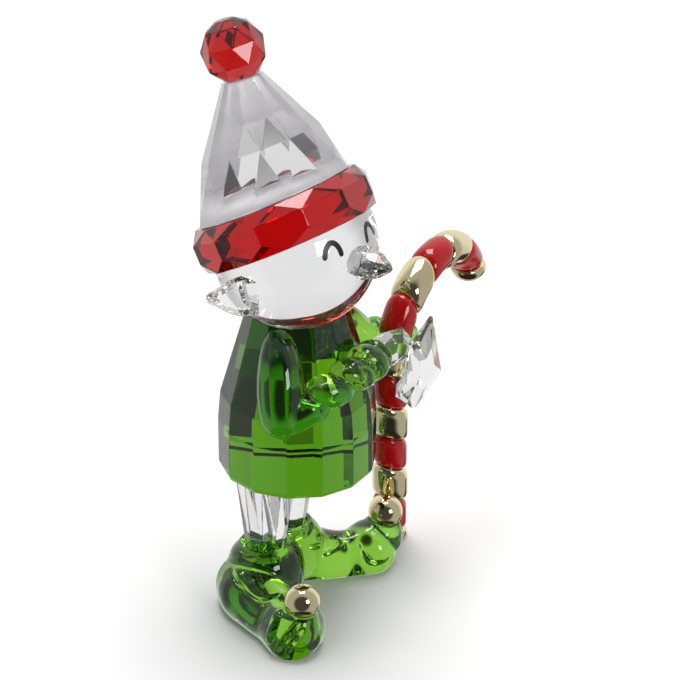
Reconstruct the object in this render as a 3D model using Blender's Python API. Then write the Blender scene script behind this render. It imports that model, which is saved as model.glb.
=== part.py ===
"""Crystal elf figurine holding a metal candy cane, for Blender 4.5.

A rigid, glued figurine of cut crystal and cast metal. The elf faces -Y, its left side is +X, and it
stands on the flat soles of its boots at Z = 0. Lengths are in metres. The crystal pieces keep a thin
glue line between them, so every object is one closed solid that touches no other.
"""

import math

import bmesh
import bpy
from mathutils import Matrix, Vector

MM = 0.001

# Glue line between two pieces, and the clearance of a piece that is cut to seat on a neighbour.
GLUE = 0.1 * MM
SEAT = 0.15 * MM

# Share of a step over which the direction of a swept route is measured.
TANGENT_STEP = 0.02

# Edges between two faces that meet at more than these angles stay sharp.
BALL_EDGE = math.radians(60.0)
CAST_EDGE = math.radians(40.0)
SLEEVE_EDGE = math.radians(50.0)
EAR_EDGE = math.radians(25.0)
HEAD_EDGE = math.radians(30.0)

# The pieces are drawn about the tunic's axis; this moves them so that the origin lies at the middle
# of the figurine's box, on the ground.
STAND_SHIFT = Vector((-12.87, 0.85, 0.0)) * MM

# Body: a bell of flat facets standing on two tapered legs.
TUNIC_FACETS = 14
TUNIC_TURN = math.radians(-6.4)
HEM_Z = 24.6 * MM
HEM_RADIUS = 12.2 * MM
HEM_BEVEL = 0.7 * MM
HEM_FLARE = 0.28 * MM
BAND_TOP_Z = 33.0 * MM
BAND_RADIUS = 12.5 * MM
CHEST_Z = 37.8 * MM
CHEST_RADIUS = 12.1 * MM
NECK_Z = 52.3 * MM
NECK_RADIUS = 7.9 * MM

# Head: a polished ball, flat under the hat and at the neck, turned a little to the elf's right.
HEAD_TURN = math.radians(-15.0)
HEAD_RADIUS = 12.95 * MM
HEAD_CENTRE = Vector((0.0, 0.2 * MM, 62.6 * MM))
HEAD_SEGMENTS = 40
HEAD_RINGS = 20

# Hat: a thick faceted brim, a clear cone on it and a faceted pompom at its tip.
BRIM_TILT = math.radians(31.0)
BRIM_FACETS = 12
BRIM_OFFSET = 1.1 * MM
BRIM_HEIGHT = 6.9 * MM
BRIM_BOTTOM_RADIUS = 14.0 * MM
BRIM_GIRDLE_RADIUS = 14.8 * MM
BRIM_TOP_RADIUS = 13.2 * MM
BRIM_BEVEL = 2.0 * MM
CONE_TILT = math.radians(22.85)
CONE_FACETS = 12
CONE_BASE_RADIUS = 12.7 * MM
CONE_WAIST_RADIUS = 9.6 * MM
CONE_WAIST_SHARE = 0.45
CONE_TIP_RADIUS = 3.3 * MM
POMPOM_DISTANCE = 31.6 * MM
POMPOM_RADIUS = 5.25 * MM
POMPOM_FLAT = 4.2 * MM
POMPOM_FACETS = 8

# Ears and nose, placed by their direction from the head's centre.
EAR_AZIMUTH = math.radians(82.0)
EAR_ELEVATION = math.radians(-13.0)
EAR_LENGTH = 6.6 * MM
EAR_HEIGHT = 7.8 * MM
EAR_THICKNESS = 3.0 * MM
EAR_ROOT = -1.4 * MM
EAR_STEPS = 9
EAR_TIP_SHARE = 0.05
EAR_MIDDLE_SHARE = 0.36
EAR_SWEEP = math.radians(32.0)
EAR_LEAN = math.radians(-3.0)

# Layers of the ear from back to front, as depth and size: a rim, and a hollow cut in its front.
EAR_LAYERS = ((-1.0, 0.80), (-0.35, 1.0), (0.6, 1.0), (1.0, 0.90), (0.0, 0.62))
NOSE_ELEVATION = math.radians(7.6)
NOSE_LENGTH = 6.9 * MM
NOSE_WIDTH = 5.8 * MM
NOSE_HEIGHT = 5.2 * MM
NOSE_SINK = 0.2 * MM
NOSE_FACETS = 8

# The nose as (radius, length, turned), in shares of its size.
NOSE_PROFILE = [
    (0.80, -0.30, False),
    (1.00, 0.22, True),
    (0.78, 0.58, False),
    (0.34, 0.88, True),
    (0.08, 1.00, False),
]

# Legs and boots. Positions are for the left side; the right side mirrors them in X.
LEG_FACETS = 10
LEG_TOP = Vector((3.3 * MM, 3.7 * MM, HEM_Z - GLUE))
LEG_BOTTOM = Vector((3.6 * MM, 4.0 * MM, 8.2 * MM))
LEG_TOP_RADIUS = 5.3 * MM
LEG_COLLAR_RADIUS = 3.3 * MM
LEG_FOOT_RADIUS = 3.135 * MM
COLLAR_Z = 10.5 * MM
SOCKET_RADIUS = 3.47 * MM
ANKLE_CENTRE = Vector((3.6 * MM, 4.0 * MM, 0.0))
SOLE_Z = 0.0
MIDDLE = Vector((GLUE / 2, 0.0, 0.0))
FOOT_SIDES = 20
FOOT_RINGS = 22
TOE_RINGS = 10
FOOT_ACROSS = Vector((0.8, -0.6, 0.0))
TOE_BALL_CENTRE = Vector((15.06 * MM, -8.24 * MM, 9.03 * MM))
TOE_BALL_RADIUS = 2.8 * MM
TOE_BALL_SEGMENTS = 20
TOE_BALL_RINGS = 12

# Routes of the soft forms: x, y and z of the middle and the two radii, in millimetres. Those of a
# right limb are written for the left side and mirrored.
RIGHT_FOOT = [
    (3.2, 9.9, 3.0, 1.4, 1.4),
    (4.6, 8.2, 3.2, 4.2, 4.1),
    (7.7, 4.3, 3.3, 5.5, 5.3),
    (10.7, 0.5, 3.0, 4.7, 4.5),
    (12.7, -3.0, 2.8, 4.4, 4.3),
    (14.8, -6.9, 3.0, 5.1, 4.9),
    (16.0, -9.2, 3.3, 4.1, 3.9),
    (16.8, -11.0, 3.5, 1.5, 1.5),
]
RIGHT_TOE = [
    (15.6, -7.0, 2.6, 3.0, 3.0),
    (15.8, -7.4, 4.2, 3.9, 3.9),
    (15.7, -7.9, 5.8, 3.6, 3.6),
    (15.4, -8.2, 7.2, 2.7, 2.7),
    (15.2, -8.2, 8.6, 1.6, 1.6),
]
LEFT_FOOT = [
    (3.0, 9.6, 3.0, 1.4, 1.4),
    (3.9, 8.0, 3.2, 4.2, 4.1),
    (5.6, 4.4, 3.4, 5.6, 5.4),
    (7.6, -0.6, 2.9, 4.4, 4.2),
    (9.8, -4.2, 2.8, 4.0, 3.9),
    (12.8, -6.7, 3.1, 4.8, 4.6),
    (14.6, -8.2, 3.4, 3.9, 3.7),
    (15.8, -9.2, 3.6, 1.5, 1.5),
]
LEFT_TOE = [
    (13.4, -7.2, 2.8, 3.0, 3.0),
    (14.0, -7.6, 4.4, 3.7, 3.7),
    (14.6, -7.9, 6.0, 3.4, 3.4),
    (15.0, -8.1, 7.4, 2.6, 2.6),
    (15.1, -8.2, 8.6, 1.6, 1.6),
]

# Creases pressed into the boots, as points on their surface in millimetres: the hem of the right
# shaft, and two that run down from the right ball.
RIGHT_HEM_CREASE = [
    (8.97, 7.8, 7.3),
    (11.7, 4.8, 7.0),
    (13.7, 1.3, 6.6),
    (13.9, -0.8, 6.6),
    (12.8, -2.4, 6.9),
    (10.1, -3.0, 6.4),
]
RIGHT_BALL_CREASE = [
    (18.2, -9.3, 7.4),
    (19.1, -8.9, 6.3),
    (19.7, -7.8, 4.9),
    (19.7, -6.7, 2.9),
    (19.0, -6.0, 1.2),
]
RIGHT_TIP_CREASE = [
    (18.3, -10.1, 6.5),
    (19.1, -9.4, 5.1),
    (19.3, -8.4, 3.2),
    (19.1, -7.7, 0.8),
]

# The creases of the left boot: round the tongue, along its middle and across the curled toe.
LEFT_TONGUE_CREASE = [
    (0.9, -0.1, 9.2),
    (4.7, -1.5, 8.1),
    (7.3, -2.7, 6.7),
    (6.9, -3.8, 6.0),
    (4.5, -2.8, 5.4),
    (2.2, -2.2, 6.6),
]
LEFT_MIDDLE_CREASE = [
    (1.2, -1.0, 8.1),
    (3.0, -1.8, 7.3),
    (5.6, -2.6, 6.6),
]
LEFT_TOE_CREASE = [
    (8.8, -6.8, 6.4),
    (8.2, -8.0, 4.9),
    (8.8, -9.3, 3.1),
    (10.8, -10.9, 3.4),
]
CREASE_RADIUS = 0.42
CREASE_TIP_RADIUS = 0.12
CREASE_SIDES = 8
CREASE_RINGS_PER_STEP = 3
CREASE_ACROSS = Vector((0.0, 0.3, 1.0))

# The narrow fold that stands up beside the ball of the right boot.
RIGHT_LEAF = [
    (16.4, -5.4, 7.9, 0.3, 0.3),
    (17.6, -5.4, 7.0, 1.1, 0.9),
    (18.7, -5.2, 5.4, 1.0, 0.9),
    (19.3, -4.6, 3.8, 0.6, 0.6),
    (19.4, -4.3, 2.7, 0.2, 0.2),
]
LEAF_ACROSS = Vector((-0.32, 0.92, 0.05))
LEAF_SIDES = 10
LEAF_RINGS = 10

# The boot's shaft as (radius, height) in millimetres, and the slight wave round its middle.
SHAFT_SIDES = 22
SHAFT_WAVE = 0.16
SHAFT_WAVE_HEIGHT = 6.0
SHAFT_WAVE_WIDTH = 2.2
SHAFT_WAVES = 3
SHAFT_PROFILE = [
    (4.8, 1.8),
    (5.9, 3.0),
    (6.15, 4.8),
    (6.1, 6.6),
    (5.6, 8.3),
    (4.8, 9.5),
    (4.3, 10.1),
    (4.15, 10.5),
]

# Sleeves: an upper arm that hangs, fused with a forearm of bunched folds.
RIGHT_UPPER_ARM = [
    (8.6, -0.8, 52.0, 1.3, 1.3),
    (9.6, -1.6, 50.6, 2.5, 2.5),
    (11.2, -2.7, 47.6, 3.4, 3.4),
    (12.5, -3.5, 43.6, 3.7, 3.7),
    (13.1, -4.0, 40.2, 3.5, 3.5),
    (13.2, -4.2, 37.9, 2.5, 2.5),
    (13.2, -4.2, 36.9, 1.2, 1.2),
]
RIGHT_FOREARM = [
    (13.8, -3.8, 39.2, 1.3, 1.3),
    (12.7, -5.0, 40.0, 2.7, 2.7),
    (10.7, -7.4, 41.8, 3.1, 3.1),
    (7.8, -9.7, 43.6, 3.1, 3.1),
    (4.0, -11.5, 44.8, 3.1, 3.1),
    (0.4, -12.2, 45.1, 3.3, 3.3),
    (-2.6, -12.1, 44.7, 3.0, 3.0),
    (-4.0, -11.9, 44.4, 1.5, 1.5),
]
LEFT_UPPER_ARM = [
    (8.6, -0.8, 48.9, 1.3, 1.3),
    (9.8, -1.1, 47.3, 2.4, 2.4),
    (12.4, -1.6, 43.9, 3.1, 3.1),
    (15.4, -2.2, 40.9, 3.1, 3.1),
    (17.6, -2.8, 39.0, 2.6, 2.6),
    (18.6, -3.1, 38.2, 1.3, 1.3),
]
LEFT_FOREARM = [
    (17.2, -1.4, 39.0, 1.4, 1.4),
    (18.0, -2.6, 38.9, 2.6, 2.6),
    (20.4, -5.2, 38.4, 2.9, 2.9),
    (22.2, -8.2, 37.6, 2.8, 2.8),
    (22.8, -9.8, 37.2, 1.6, 1.6),
]
SLEEVE_ACROSS = Vector((0.6, 0.8, 0.0))
SLEEVE_SIDES = 18
UPPER_ARM_RINGS = 16
FOREARM_RINGS = 30

# The creases of the bunched forearm, as shares of its length and of its radius.
SLEEVE_FIRST_CREASE = 0.34
SLEEVE_CREASE_PITCH = 0.155
SLEEVE_CREASES = 4
SLEEVE_CREASE_DEPTH = 0.30
SLEEVE_SLANT = 0.035

# Outlines of the mittens in millimetres, and the depth and size of their layers of facets.
LEFT_HAND_OUTLINE = [
    (2.9, 6.1),
    (4.0, -3.9),
    (-2.4, -8.2),
    (-5.6, -5.0),
    (-4.1, -3.2),
    (-3.5, -1.0),
    (-3.4, 3.2),
    (0.0, 2.7),
]
RIGHT_HAND_OUTLINE = [
    (-4.2, -2.0),
    (-0.4, -2.9),
    (3.8, -2.2),
    (5.2, 0.4),
    (3.8, 2.6),
    (-0.4, 3.0),
    (-4.2, 2.2),
]
HAND_LAYERS = ((-0.5, 0.45), (-0.08, 1.0), (0.08, 1.0), (0.5, 0.45))

# Where each mitten's middle lies and the way its back faces.
HAND_THICKNESS = 4.4 * MM
LEFT_HAND_PLACE = Vector((19.0, -12.4, 36.6)) * MM
LEFT_HAND_FACING = Vector((-0.35, -0.93, 0.1))
RIGHT_HAND_PLACE = Vector((9.6, -10.8, 42.0)) * MM
RIGHT_HAND_FACING = Vector((-0.35, -0.9, 0.2))

# Candy cane: barrel segments on a straight shaft and a hook, gold on the casting and red between.
CANE_FOOT = Vector((22.0 * MM, -5.75 * MM, 0.0))
CANE_AXIS = Vector((-0.13, -0.06, 0.99)).normalized()
HOOK_SIDE = Vector((0.99, -0.08, 0.12)).normalized()
CANE_START = 0.6 * MM
CANE_FOOT_LENGTH = 2.3 * MM
CANE_END_LENGTH = 3.3 * MM
CANE_PITCH = 6.2 * MM
CANE_BANDS = 6
CANE_SEGMENTS = 2 * CANE_BANDS + 1
CANE_GOLD_RADIUS = 2.95 * MM
CANE_RED_RADIUS = 2.75 * MM
CANE_NECK_RADIUS = 1.7 * MM
CANE_STRAIGHT = 34.8 * MM
HOOK_RADIUS = 13.0 * MM
CANE_SLANT = math.radians(27.0)
CANE_SIDES = 16
BARREL_STEPS = 6
NECK_STEPS = 2
GRIP_STEPS = 10
SHOULDER_SHARPNESS = 6
SHOULDER_DROP = 0.22
DOME_SHARE = 0.35
DOME_CLOSING = 0.9


def make_material(name, colour, roughness, metallic=0.0, transmission=0.0, ior=1.5):
    """A Principled material in the colour of one of the figurine's glasses, metals or enamels."""
    material = bpy.data.materials.new(name)
    material.use_nodes = True
    shader = material.node_tree.nodes["Principled BSDF"]
    shader.inputs["Base Color"].default_value = (*colour, 1.0)
    shader.inputs["Roughness"].default_value = roughness
    shader.inputs["Metallic"].default_value = metallic
    shader.inputs["Transmission Weight"].default_value = transmission
    shader.inputs["IOR"].default_value = ior
    material.diffuse_color = (*colour, 1.0)
    return material


def mirrored(point, side):
    """A point of the left side, moved to the side given: +1 is the elf's left, -1 its right."""
    return Vector((point.x * side, point.y, point.z))


def circle(count, radius_x, radius_y, z, phase=0.0):
    """Points of a level ring about the Z axis."""
    points = []
    for index in range(count):
        angle = phase + 2.0 * math.pi * index / count
        points.append(Vector((radius_x * math.cos(angle), radius_y * math.sin(angle), z)))
    return points


def flip_side(builder, side):
    """Mirror a bmesh of the left side when the right side is built."""
    if side < 0:
        bmesh.ops.scale(builder, vec=(-1.0, 1.0, 1.0), verts=builder.verts)
    return builder


def frame_at(origin, direction, up_hint):
    """A matrix at the origin with its Z axis along the direction and its Y axis near the hint."""
    z_axis = direction.normalized()
    x_axis = up_hint.cross(z_axis).normalized()
    y_axis = z_axis.cross(x_axis)
    rotation = Matrix((x_axis, y_axis, z_axis)).transposed().to_4x4()
    return Matrix.Translation(origin) @ rotation


def new_object(name, mesh_builder, material, smooth_angle=None):
    """Turn a bmesh into a named object with its faces pointing out and its material set."""
    bmesh.ops.recalc_face_normals(mesh_builder, faces=mesh_builder.faces)
    mesh = bpy.data.meshes.new(name)
    mesh_builder.to_mesh(mesh)
    mesh_builder.free()
    if material is not None:
        mesh.materials.append(material)
    if smooth_angle is not None:
        mesh.shade_smooth()
        mesh.set_sharp_from_angle(angle=smooth_angle)
    part = bpy.data.objects.new(name, mesh)
    bpy.context.scene.collection.objects.link(part)
    return part


def skin_rings(rings):
    """A closed bmesh skinned over rings of equal count, with a flat or pointed cap at each end."""
    builder = bmesh.new()
    rows = []
    for ring in rings:
        rows.append([builder.verts.new(point) for point in ring])
    for lower, upper in zip(rows, rows[1:]):
        count = len(lower)
        for index in range(count):
            following = (index + 1) % count
            builder.faces.new((lower[index], lower[following], upper[following], upper[index]))
    builder.faces.new(list(reversed(rows[0])))
    builder.faces.new(rows[-1])
    return builder


def skin_staggered(rings):
    """A closed bmesh over rings that may be turned half a step, which leaves triangular facets.

    Each ring is a pair of its points and a flag that says whether it is turned by half a step.
    """
    builder = bmesh.new()
    rows = []
    for points, turned in rings:
        rows.append(([builder.verts.new(point) for point in points], turned))
    for (lower, lower_turned), (upper, upper_turned) in zip(rows, rows[1:]):
        count = len(lower)
        for index in range(count):
            following = (index + 1) % count
            if lower_turned == upper_turned:
                builder.faces.new((lower[index], lower[following], upper[following], upper[index]))
            elif upper_turned:
                builder.faces.new((lower[index], lower[following], upper[index]))
                builder.faces.new((lower[following], upper[following], upper[index]))
            else:
                builder.faces.new((lower[index], upper[following], upper[index]))
                builder.faces.new((lower[index], lower[following], upper[following]))
    builder.faces.new(list(reversed(rows[0][0])))
    builder.faces.new(rows[-1][0])
    return builder


def facet_rings(count, profile, phase=0.0):
    """Staggered rings about Z from a profile of (radius, height, turned) steps, bottom to top."""
    rings = []
    for radius, height, turned in profile:
        step = math.pi / count if turned else 0.0
        rings.append((circle(count, radius, radius, height, phase + step), turned))
    return rings


def cut_flat(builder, point, normal):
    """Remove what lies on the normal's side of a plane and close the cut with a flat face."""
    geometry = list(builder.verts) + list(builder.edges) + list(builder.faces)
    result = bmesh.ops.bisect_plane(
        builder, geom=geometry, plane_co=point, plane_no=normal, clear_outer=True, dist=1e-7
    )
    edges = [item for item in result["geom_cut"] if isinstance(item, bmesh.types.BMEdge)]
    bmesh.ops.holes_fill(builder, edges=edges, sides=0)


def subtract(part, cutter):
    """Cut one object by another with an exact Boolean, and hide the cutter."""
    modifier = part.modifiers.new("seat_" + cutter.name, "BOOLEAN")
    modifier.operation = "DIFFERENCE"
    modifier.solver = "EXACT"
    modifier.object = cutter
    hide_tool(cutter)


def join_solid(part, addition):
    """Fuse another solid into an object, which leaves a crease where the two meet."""
    modifier = part.modifiers.new("fuse_" + addition.name, "BOOLEAN")
    modifier.operation = "UNION"
    modifier.solver = "EXACT"
    modifier.object = addition
    hide_tool(addition)


def hide_tool(tool):
    """Mark an object as a construction tool and not a piece of the figurine."""
    tool.hide_render = True
    tool.display_type = "WIRE"


def spline_point(points, position):
    """A point on the smooth curve through the given values, at a position in steps from the first."""
    last = len(points) - 1
    index = min(int(position), last - 1)
    share = position - index
    before = points[max(index - 1, 0)]
    start = points[index]
    end = points[index + 1]
    after = points[min(index + 2, last)]
    leave = (end - before) * 0.5
    arrive = (after - start) * 0.5
    cube = share ** 3
    square = share ** 2
    return (
        start * (2 * cube - 3 * square + 1)
        + leave * (cube - 2 * square + share)
        + end * (3 * square - 2 * cube)
        + arrive * (cube - square)
    )


def soft_tube(stations, sides, rings, across, folds):
    """A closed bmesh swept over stations of (x, y, z, radius across, radius up) in millimetres.

    across is the direction of the first radius at the start; it is carried along without twist.
    folds(position, angle) gives the share by which the radius grows at that place.
    """
    points = [Vector(station[:3]) * MM for station in stations]
    widths = [station[3] * MM for station in stations]
    heights = [station[4] * MM for station in stations]
    span = len(stations) - 1
    loops = []
    for ring in range(rings + 1):
        position = span * ring / rings
        centre = spline_point(points, position)
        ahead = spline_point(points, min(position + TANGENT_STEP, span))
        behind = spline_point(points, max(position - TANGENT_STEP, 0.0))
        tangent = (ahead - behind).normalized()
        across = (across - tangent * across.dot(tangent)).normalized()
        upward = tangent.cross(across)
        width = spline_point(widths, position)
        height = spline_point(heights, position)
        loop = []
        for side in range(sides):
            angle = 2.0 * math.pi * side / sides
            swell = 1.0 + folds(ring / rings, angle)
            reach = across * (width * math.cos(angle)) + upward * (height * math.sin(angle))
            loop.append(centre + reach * swell)
        loops.append(loop)
    return skin_rings(loops)


def ridge(distance, width):
    """A rounded bump of height 1 at distance 0 that fades out past the width."""
    return math.exp(-((distance / width) ** 2))


def no_folds(position, angle):
    """A plain swept surface."""
    return 0.0


def head_frame():
    """The matrix of the head: at its centre, turned about the vertical."""
    return Matrix.Translation(HEAD_CENTRE) @ Matrix.Rotation(HEAD_TURN, 4, "Z")


def head_direction(azimuth, elevation):
    """A direction from the head's centre: azimuth from the face to the elf's left, then upward."""
    level = math.cos(elevation)
    return Vector((level * math.sin(azimuth), -level * math.cos(azimuth), math.sin(elevation)))


def brim_frame():
    """The matrix of the brim in the head's frame, with its Z axis along the tilted hat."""
    direction = Vector((0.0, math.sin(BRIM_TILT), math.cos(BRIM_TILT)))
    return frame_at(direction * (BRIM_OFFSET + GLUE), direction, Vector((0.0, 1.0, 0.0)))


def cone_direction():
    """The direction of the cone's axis in the head's frame."""
    return Vector((0.0, math.sin(CONE_TILT), math.cos(CONE_TILT)))


def tunic_profile(offset):
    """The bell's rings of (radius, height), grown outward by an offset."""
    return [
        (HEM_RADIUS + offset, HEM_Z - offset, False),
        (HEM_RADIUS + HEM_FLARE + offset, HEM_Z + HEM_BEVEL - offset, False),
        (BAND_RADIUS + offset, BAND_TOP_Z, False),
        (CHEST_RADIUS + offset, CHEST_Z, False),
        (NECK_RADIUS + offset, NECK_Z + offset, False),
    ]


def build_tunic(material):
    """The green bell with a straight band at the hem and long facets that taper to the neck."""
    rings = facet_rings(TUNIC_FACETS, tunic_profile(0.0), TUNIC_TURN)
    return new_object("tunic", skin_staggered(rings), material)


def build_tunic_tool():
    """The bell grown by the seat clearance, which cuts the flat that an arm is glued by."""
    rings = facet_rings(TUNIC_FACETS, tunic_profile(SEAT), TUNIC_TURN)
    return new_object("tunic_seat_tool", skin_staggered(rings), None)


def build_ball(radius, segments, rings):
    """A bmesh of a ball at the origin."""
    builder = bmesh.new()
    bmesh.ops.create_uvsphere(builder, u_segments=segments, v_segments=rings, radius=radius)
    return builder


def build_head(material):
    """The polished ball, cut flat at the neck and on a slant under the brim."""
    builder = build_ball(HEAD_RADIUS, HEAD_SEGMENTS, HEAD_RINGS)
    slant = Vector((0.0, math.sin(BRIM_TILT), math.cos(BRIM_TILT)))
    cut_flat(builder, slant * BRIM_OFFSET, slant)
    neck = NECK_Z + GLUE - HEAD_CENTRE.z
    cut_flat(builder, Vector((0.0, 0.0, neck)), Vector((0.0, 0.0, -1.0)))
    head = new_object("head", builder, material, HEAD_EDGE)
    head.matrix_world = head_frame()
    return head


def build_head_tool():
    """The head's ball grown by the seat clearance, which cuts the ears and the nose to seat on it."""
    builder = build_ball(HEAD_RADIUS + SEAT, HEAD_SEGMENTS, HEAD_RINGS)
    tool = new_object("head_seat_tool", builder, None)
    tool.matrix_world = head_frame()
    return tool


def build_brim(material):
    """The thick red brim: large girdle facets between rows of triangular bevels."""
    rings = facet_rings(
        BRIM_FACETS,
        [
            (BRIM_BOTTOM_RADIUS, 0.0, True),
            (BRIM_GIRDLE_RADIUS, BRIM_BEVEL, False),
            (BRIM_GIRDLE_RADIUS, BRIM_HEIGHT - BRIM_BEVEL, False),
            (BRIM_TOP_RADIUS, BRIM_HEIGHT, True),
        ],
    )
    brim = new_object("hat_brim", skin_staggered(rings), material)
    brim.matrix_world = head_frame() @ brim_frame()
    return brim


def build_cone(material):
    """The clear cone: it stands obliquely on the brim, with a row of steeper facets at its foot."""
    base_frame = brim_frame()
    base_centre = base_frame @ Vector((0.0, 0.0, BRIM_HEIGHT + GLUE))
    tip_centre = cone_direction() * (POMPOM_DISTANCE - POMPOM_FLAT - GLUE)
    tip_frame = frame_at(tip_centre, cone_direction(), Vector((0.0, 1.0, 0.0)))
    base = []
    for point in circle(CONE_FACETS, CONE_BASE_RADIUS, CONE_BASE_RADIUS, BRIM_HEIGHT + GLUE):
        base.append(base_frame @ point)
    step = math.pi / CONE_FACETS
    tip = []
    for point in circle(CONE_FACETS, CONE_TIP_RADIUS, CONE_TIP_RADIUS, 0.0, step):
        tip.append(tip_frame @ point)
    waist_centre = base_centre.lerp(tip_centre, CONE_WAIST_SHARE)
    waist_axis = base_frame.to_3x3().col[2].lerp(cone_direction(), CONE_WAIST_SHARE)
    waist_frame = frame_at(waist_centre, waist_axis, Vector((0.0, 1.0, 0.0)))
    waist = []
    for point in circle(CONE_FACETS, CONE_WAIST_RADIUS, CONE_WAIST_RADIUS, 0.0, step):
        waist.append(waist_frame @ point)
    cone = new_object("hat_cone", skin_staggered([(base, False), (waist, True), (tip, True)]), material)
    cone.matrix_world = head_frame()
    return cone


def build_pompom(material):
    """The faceted red ball with two rows of kite facets about a girdle and a flat to sit on."""
    radius = POMPOM_RADIUS
    rings = facet_rings(
        POMPOM_FACETS,
        [
            (radius * 0.52, -POMPOM_FLAT, False),
            (radius * 0.92, -radius * 0.38, True),
            (radius * 0.96, radius * 0.22, False),
            (radius * 0.68, radius * 0.74, True),
            (radius * 0.28, radius * 0.96, False),
        ],
    )
    pompom = new_object("hat_pompom", skin_staggered(rings), material)
    centre = cone_direction() * POMPOM_DISTANCE
    pompom.matrix_world = head_frame() @ frame_at(centre, cone_direction(), Vector((0.0, 1.0, 0.0)))
    return pompom


def build_nose(material, head_tool):
    """The clear pointed nose: a flattened drop of long facets that narrows to its tip."""
    builder = skin_staggered(facet_rings(NOSE_FACETS, NOSE_PROFILE))
    size = Vector((NOSE_WIDTH / 2, NOSE_HEIGHT / 2, NOSE_LENGTH))
    bmesh.ops.scale(builder, vec=size, verts=builder.verts)
    nose = new_object("nose", builder, material)
    direction = head_direction(0.0, NOSE_ELEVATION)
    root = direction * (HEAD_RADIUS - NOSE_SINK)
    nose.matrix_world = head_frame() @ frame_at(root, direction, Vector((0.0, 0.0, 1.0)))
    subtract(nose, head_tool)
    return nose


def ear_outline(share):
    """Half height of the ear at a share of its length from the root to the pointed tip."""
    return 0.5 * EAR_HEIGHT * (1.0 - share) ** 0.75 * (0.78 + 0.9 * share * (1.0 - share))


def build_ear(name, side, material, head_tool):
    """A clear pointed ear: a leaf outline with a thick rim and a hollow cut in its front."""
    outline = []
    for index in range(EAR_STEPS):
        share = index / EAR_STEPS
        outline.append((share * EAR_LENGTH, ear_outline(share)))
    outline.append((EAR_LENGTH, EAR_TIP_SHARE * EAR_HEIGHT))
    half = EAR_THICKNESS / 2
    outline.insert(0, (EAR_ROOT, outline[0][1]))
    front = [Vector((x, half, z)) for x, z in outline]
    front += [Vector((x, half, -z)) for x, z in reversed(outline)]
    builder = bmesh.new()
    rows = []
    centre_x = EAR_LENGTH * EAR_MIDDLE_SHARE
    for depth, shrink in EAR_LAYERS:
        row = []
        for point in front:
            x = centre_x + (point.x - centre_x) * shrink
            row.append(builder.verts.new((x, half * depth, point.z * shrink)))
        rows.append(row)
    for lower, upper in zip(rows, rows[1:]):
        count = len(lower)
        for index in range(count):
            following = (index + 1) % count
            builder.faces.new((lower[index], lower[following], upper[following], upper[index]))
    builder.faces.new(list(reversed(rows[0])))
    builder.faces.new(rows[-1])
    ear = new_object(name, flip_side(builder, side), material, EAR_EDGE)
    direction = head_direction(EAR_AZIMUTH * side, EAR_ELEVATION)
    place = Matrix.Translation(direction * HEAD_RADIUS)
    sweep = Matrix.Rotation(side * EAR_SWEEP, 4, "Z")
    lean = Matrix.Rotation(side * EAR_LEAN, 4, "Y")
    flip = Matrix.Rotation(math.pi, 4, "X")
    ear.matrix_world = head_frame() @ place @ sweep @ lean @ flip
    subtract(ear, head_tool)
    return ear


def build_leg(name, side, material):
    """A clear tapered leg with long flat facets, narrower where it stands in the boot."""
    collar = LEG_BOTTOM.lerp(LEG_TOP, (COLLAR_Z - LEG_BOTTOM.z) / (LEG_TOP.z - LEG_BOTTOM.z))
    rings = []
    for centre, radius in (
        (LEG_BOTTOM, LEG_FOOT_RADIUS),
        (collar, LEG_COLLAR_RADIUS),
        (LEG_TOP, LEG_TOP_RADIUS),
    ):
        points = circle(LEG_FACETS, radius, radius, 0.0, math.pi / LEG_FACETS)
        rings.append([centre + point for point in points])
    leg = skin_rings(rings)
    cut_flat(leg, MIDDLE, Vector((-1.0, 0.0, 0.0)))
    return new_object(name, flip_side(leg, side), material)


def shaft_rings():
    """The boot's soft shaft: a squat barrel that narrows to its collar."""
    loops = []
    for radius, height in SHAFT_PROFILE:
        wave = SHAFT_WAVE * ridge(height - SHAFT_WAVE_HEIGHT, SHAFT_WAVE_WIDTH)
        loop = []
        for index in range(SHAFT_SIDES):
            angle = 2.0 * math.pi * index / SHAFT_SIDES
            reach = (radius + wave * math.cos(SHAFT_WAVES * angle + 1.0)) * MM
            level = Vector((reach * math.cos(angle), reach * math.sin(angle), height * MM))
            loop.append(ANKLE_CENTRE + level)
        loops.append(loop)
    return loops


def carve_creases(boot, side, creases):
    """Press a thin round groove into the boot along each crease, fading out at its ends."""
    for number, crease in enumerate(creases):
        last = len(crease) - 1
        route = []
        for index, point in enumerate(crease):
            radius = CREASE_TIP_RADIUS if index in (0, last) else CREASE_RADIUS
            route.append((*point, radius, radius))
        rings = CREASE_RINGS_PER_STEP * last
        groove = soft_tube(route, CREASE_SIDES, rings, CREASE_ACROSS, no_folds)
        tool_name = boot.name + "_crease_tool_" + str(number)
        subtract(boot, new_object(tool_name, flip_side(groove, side), None))


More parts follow.
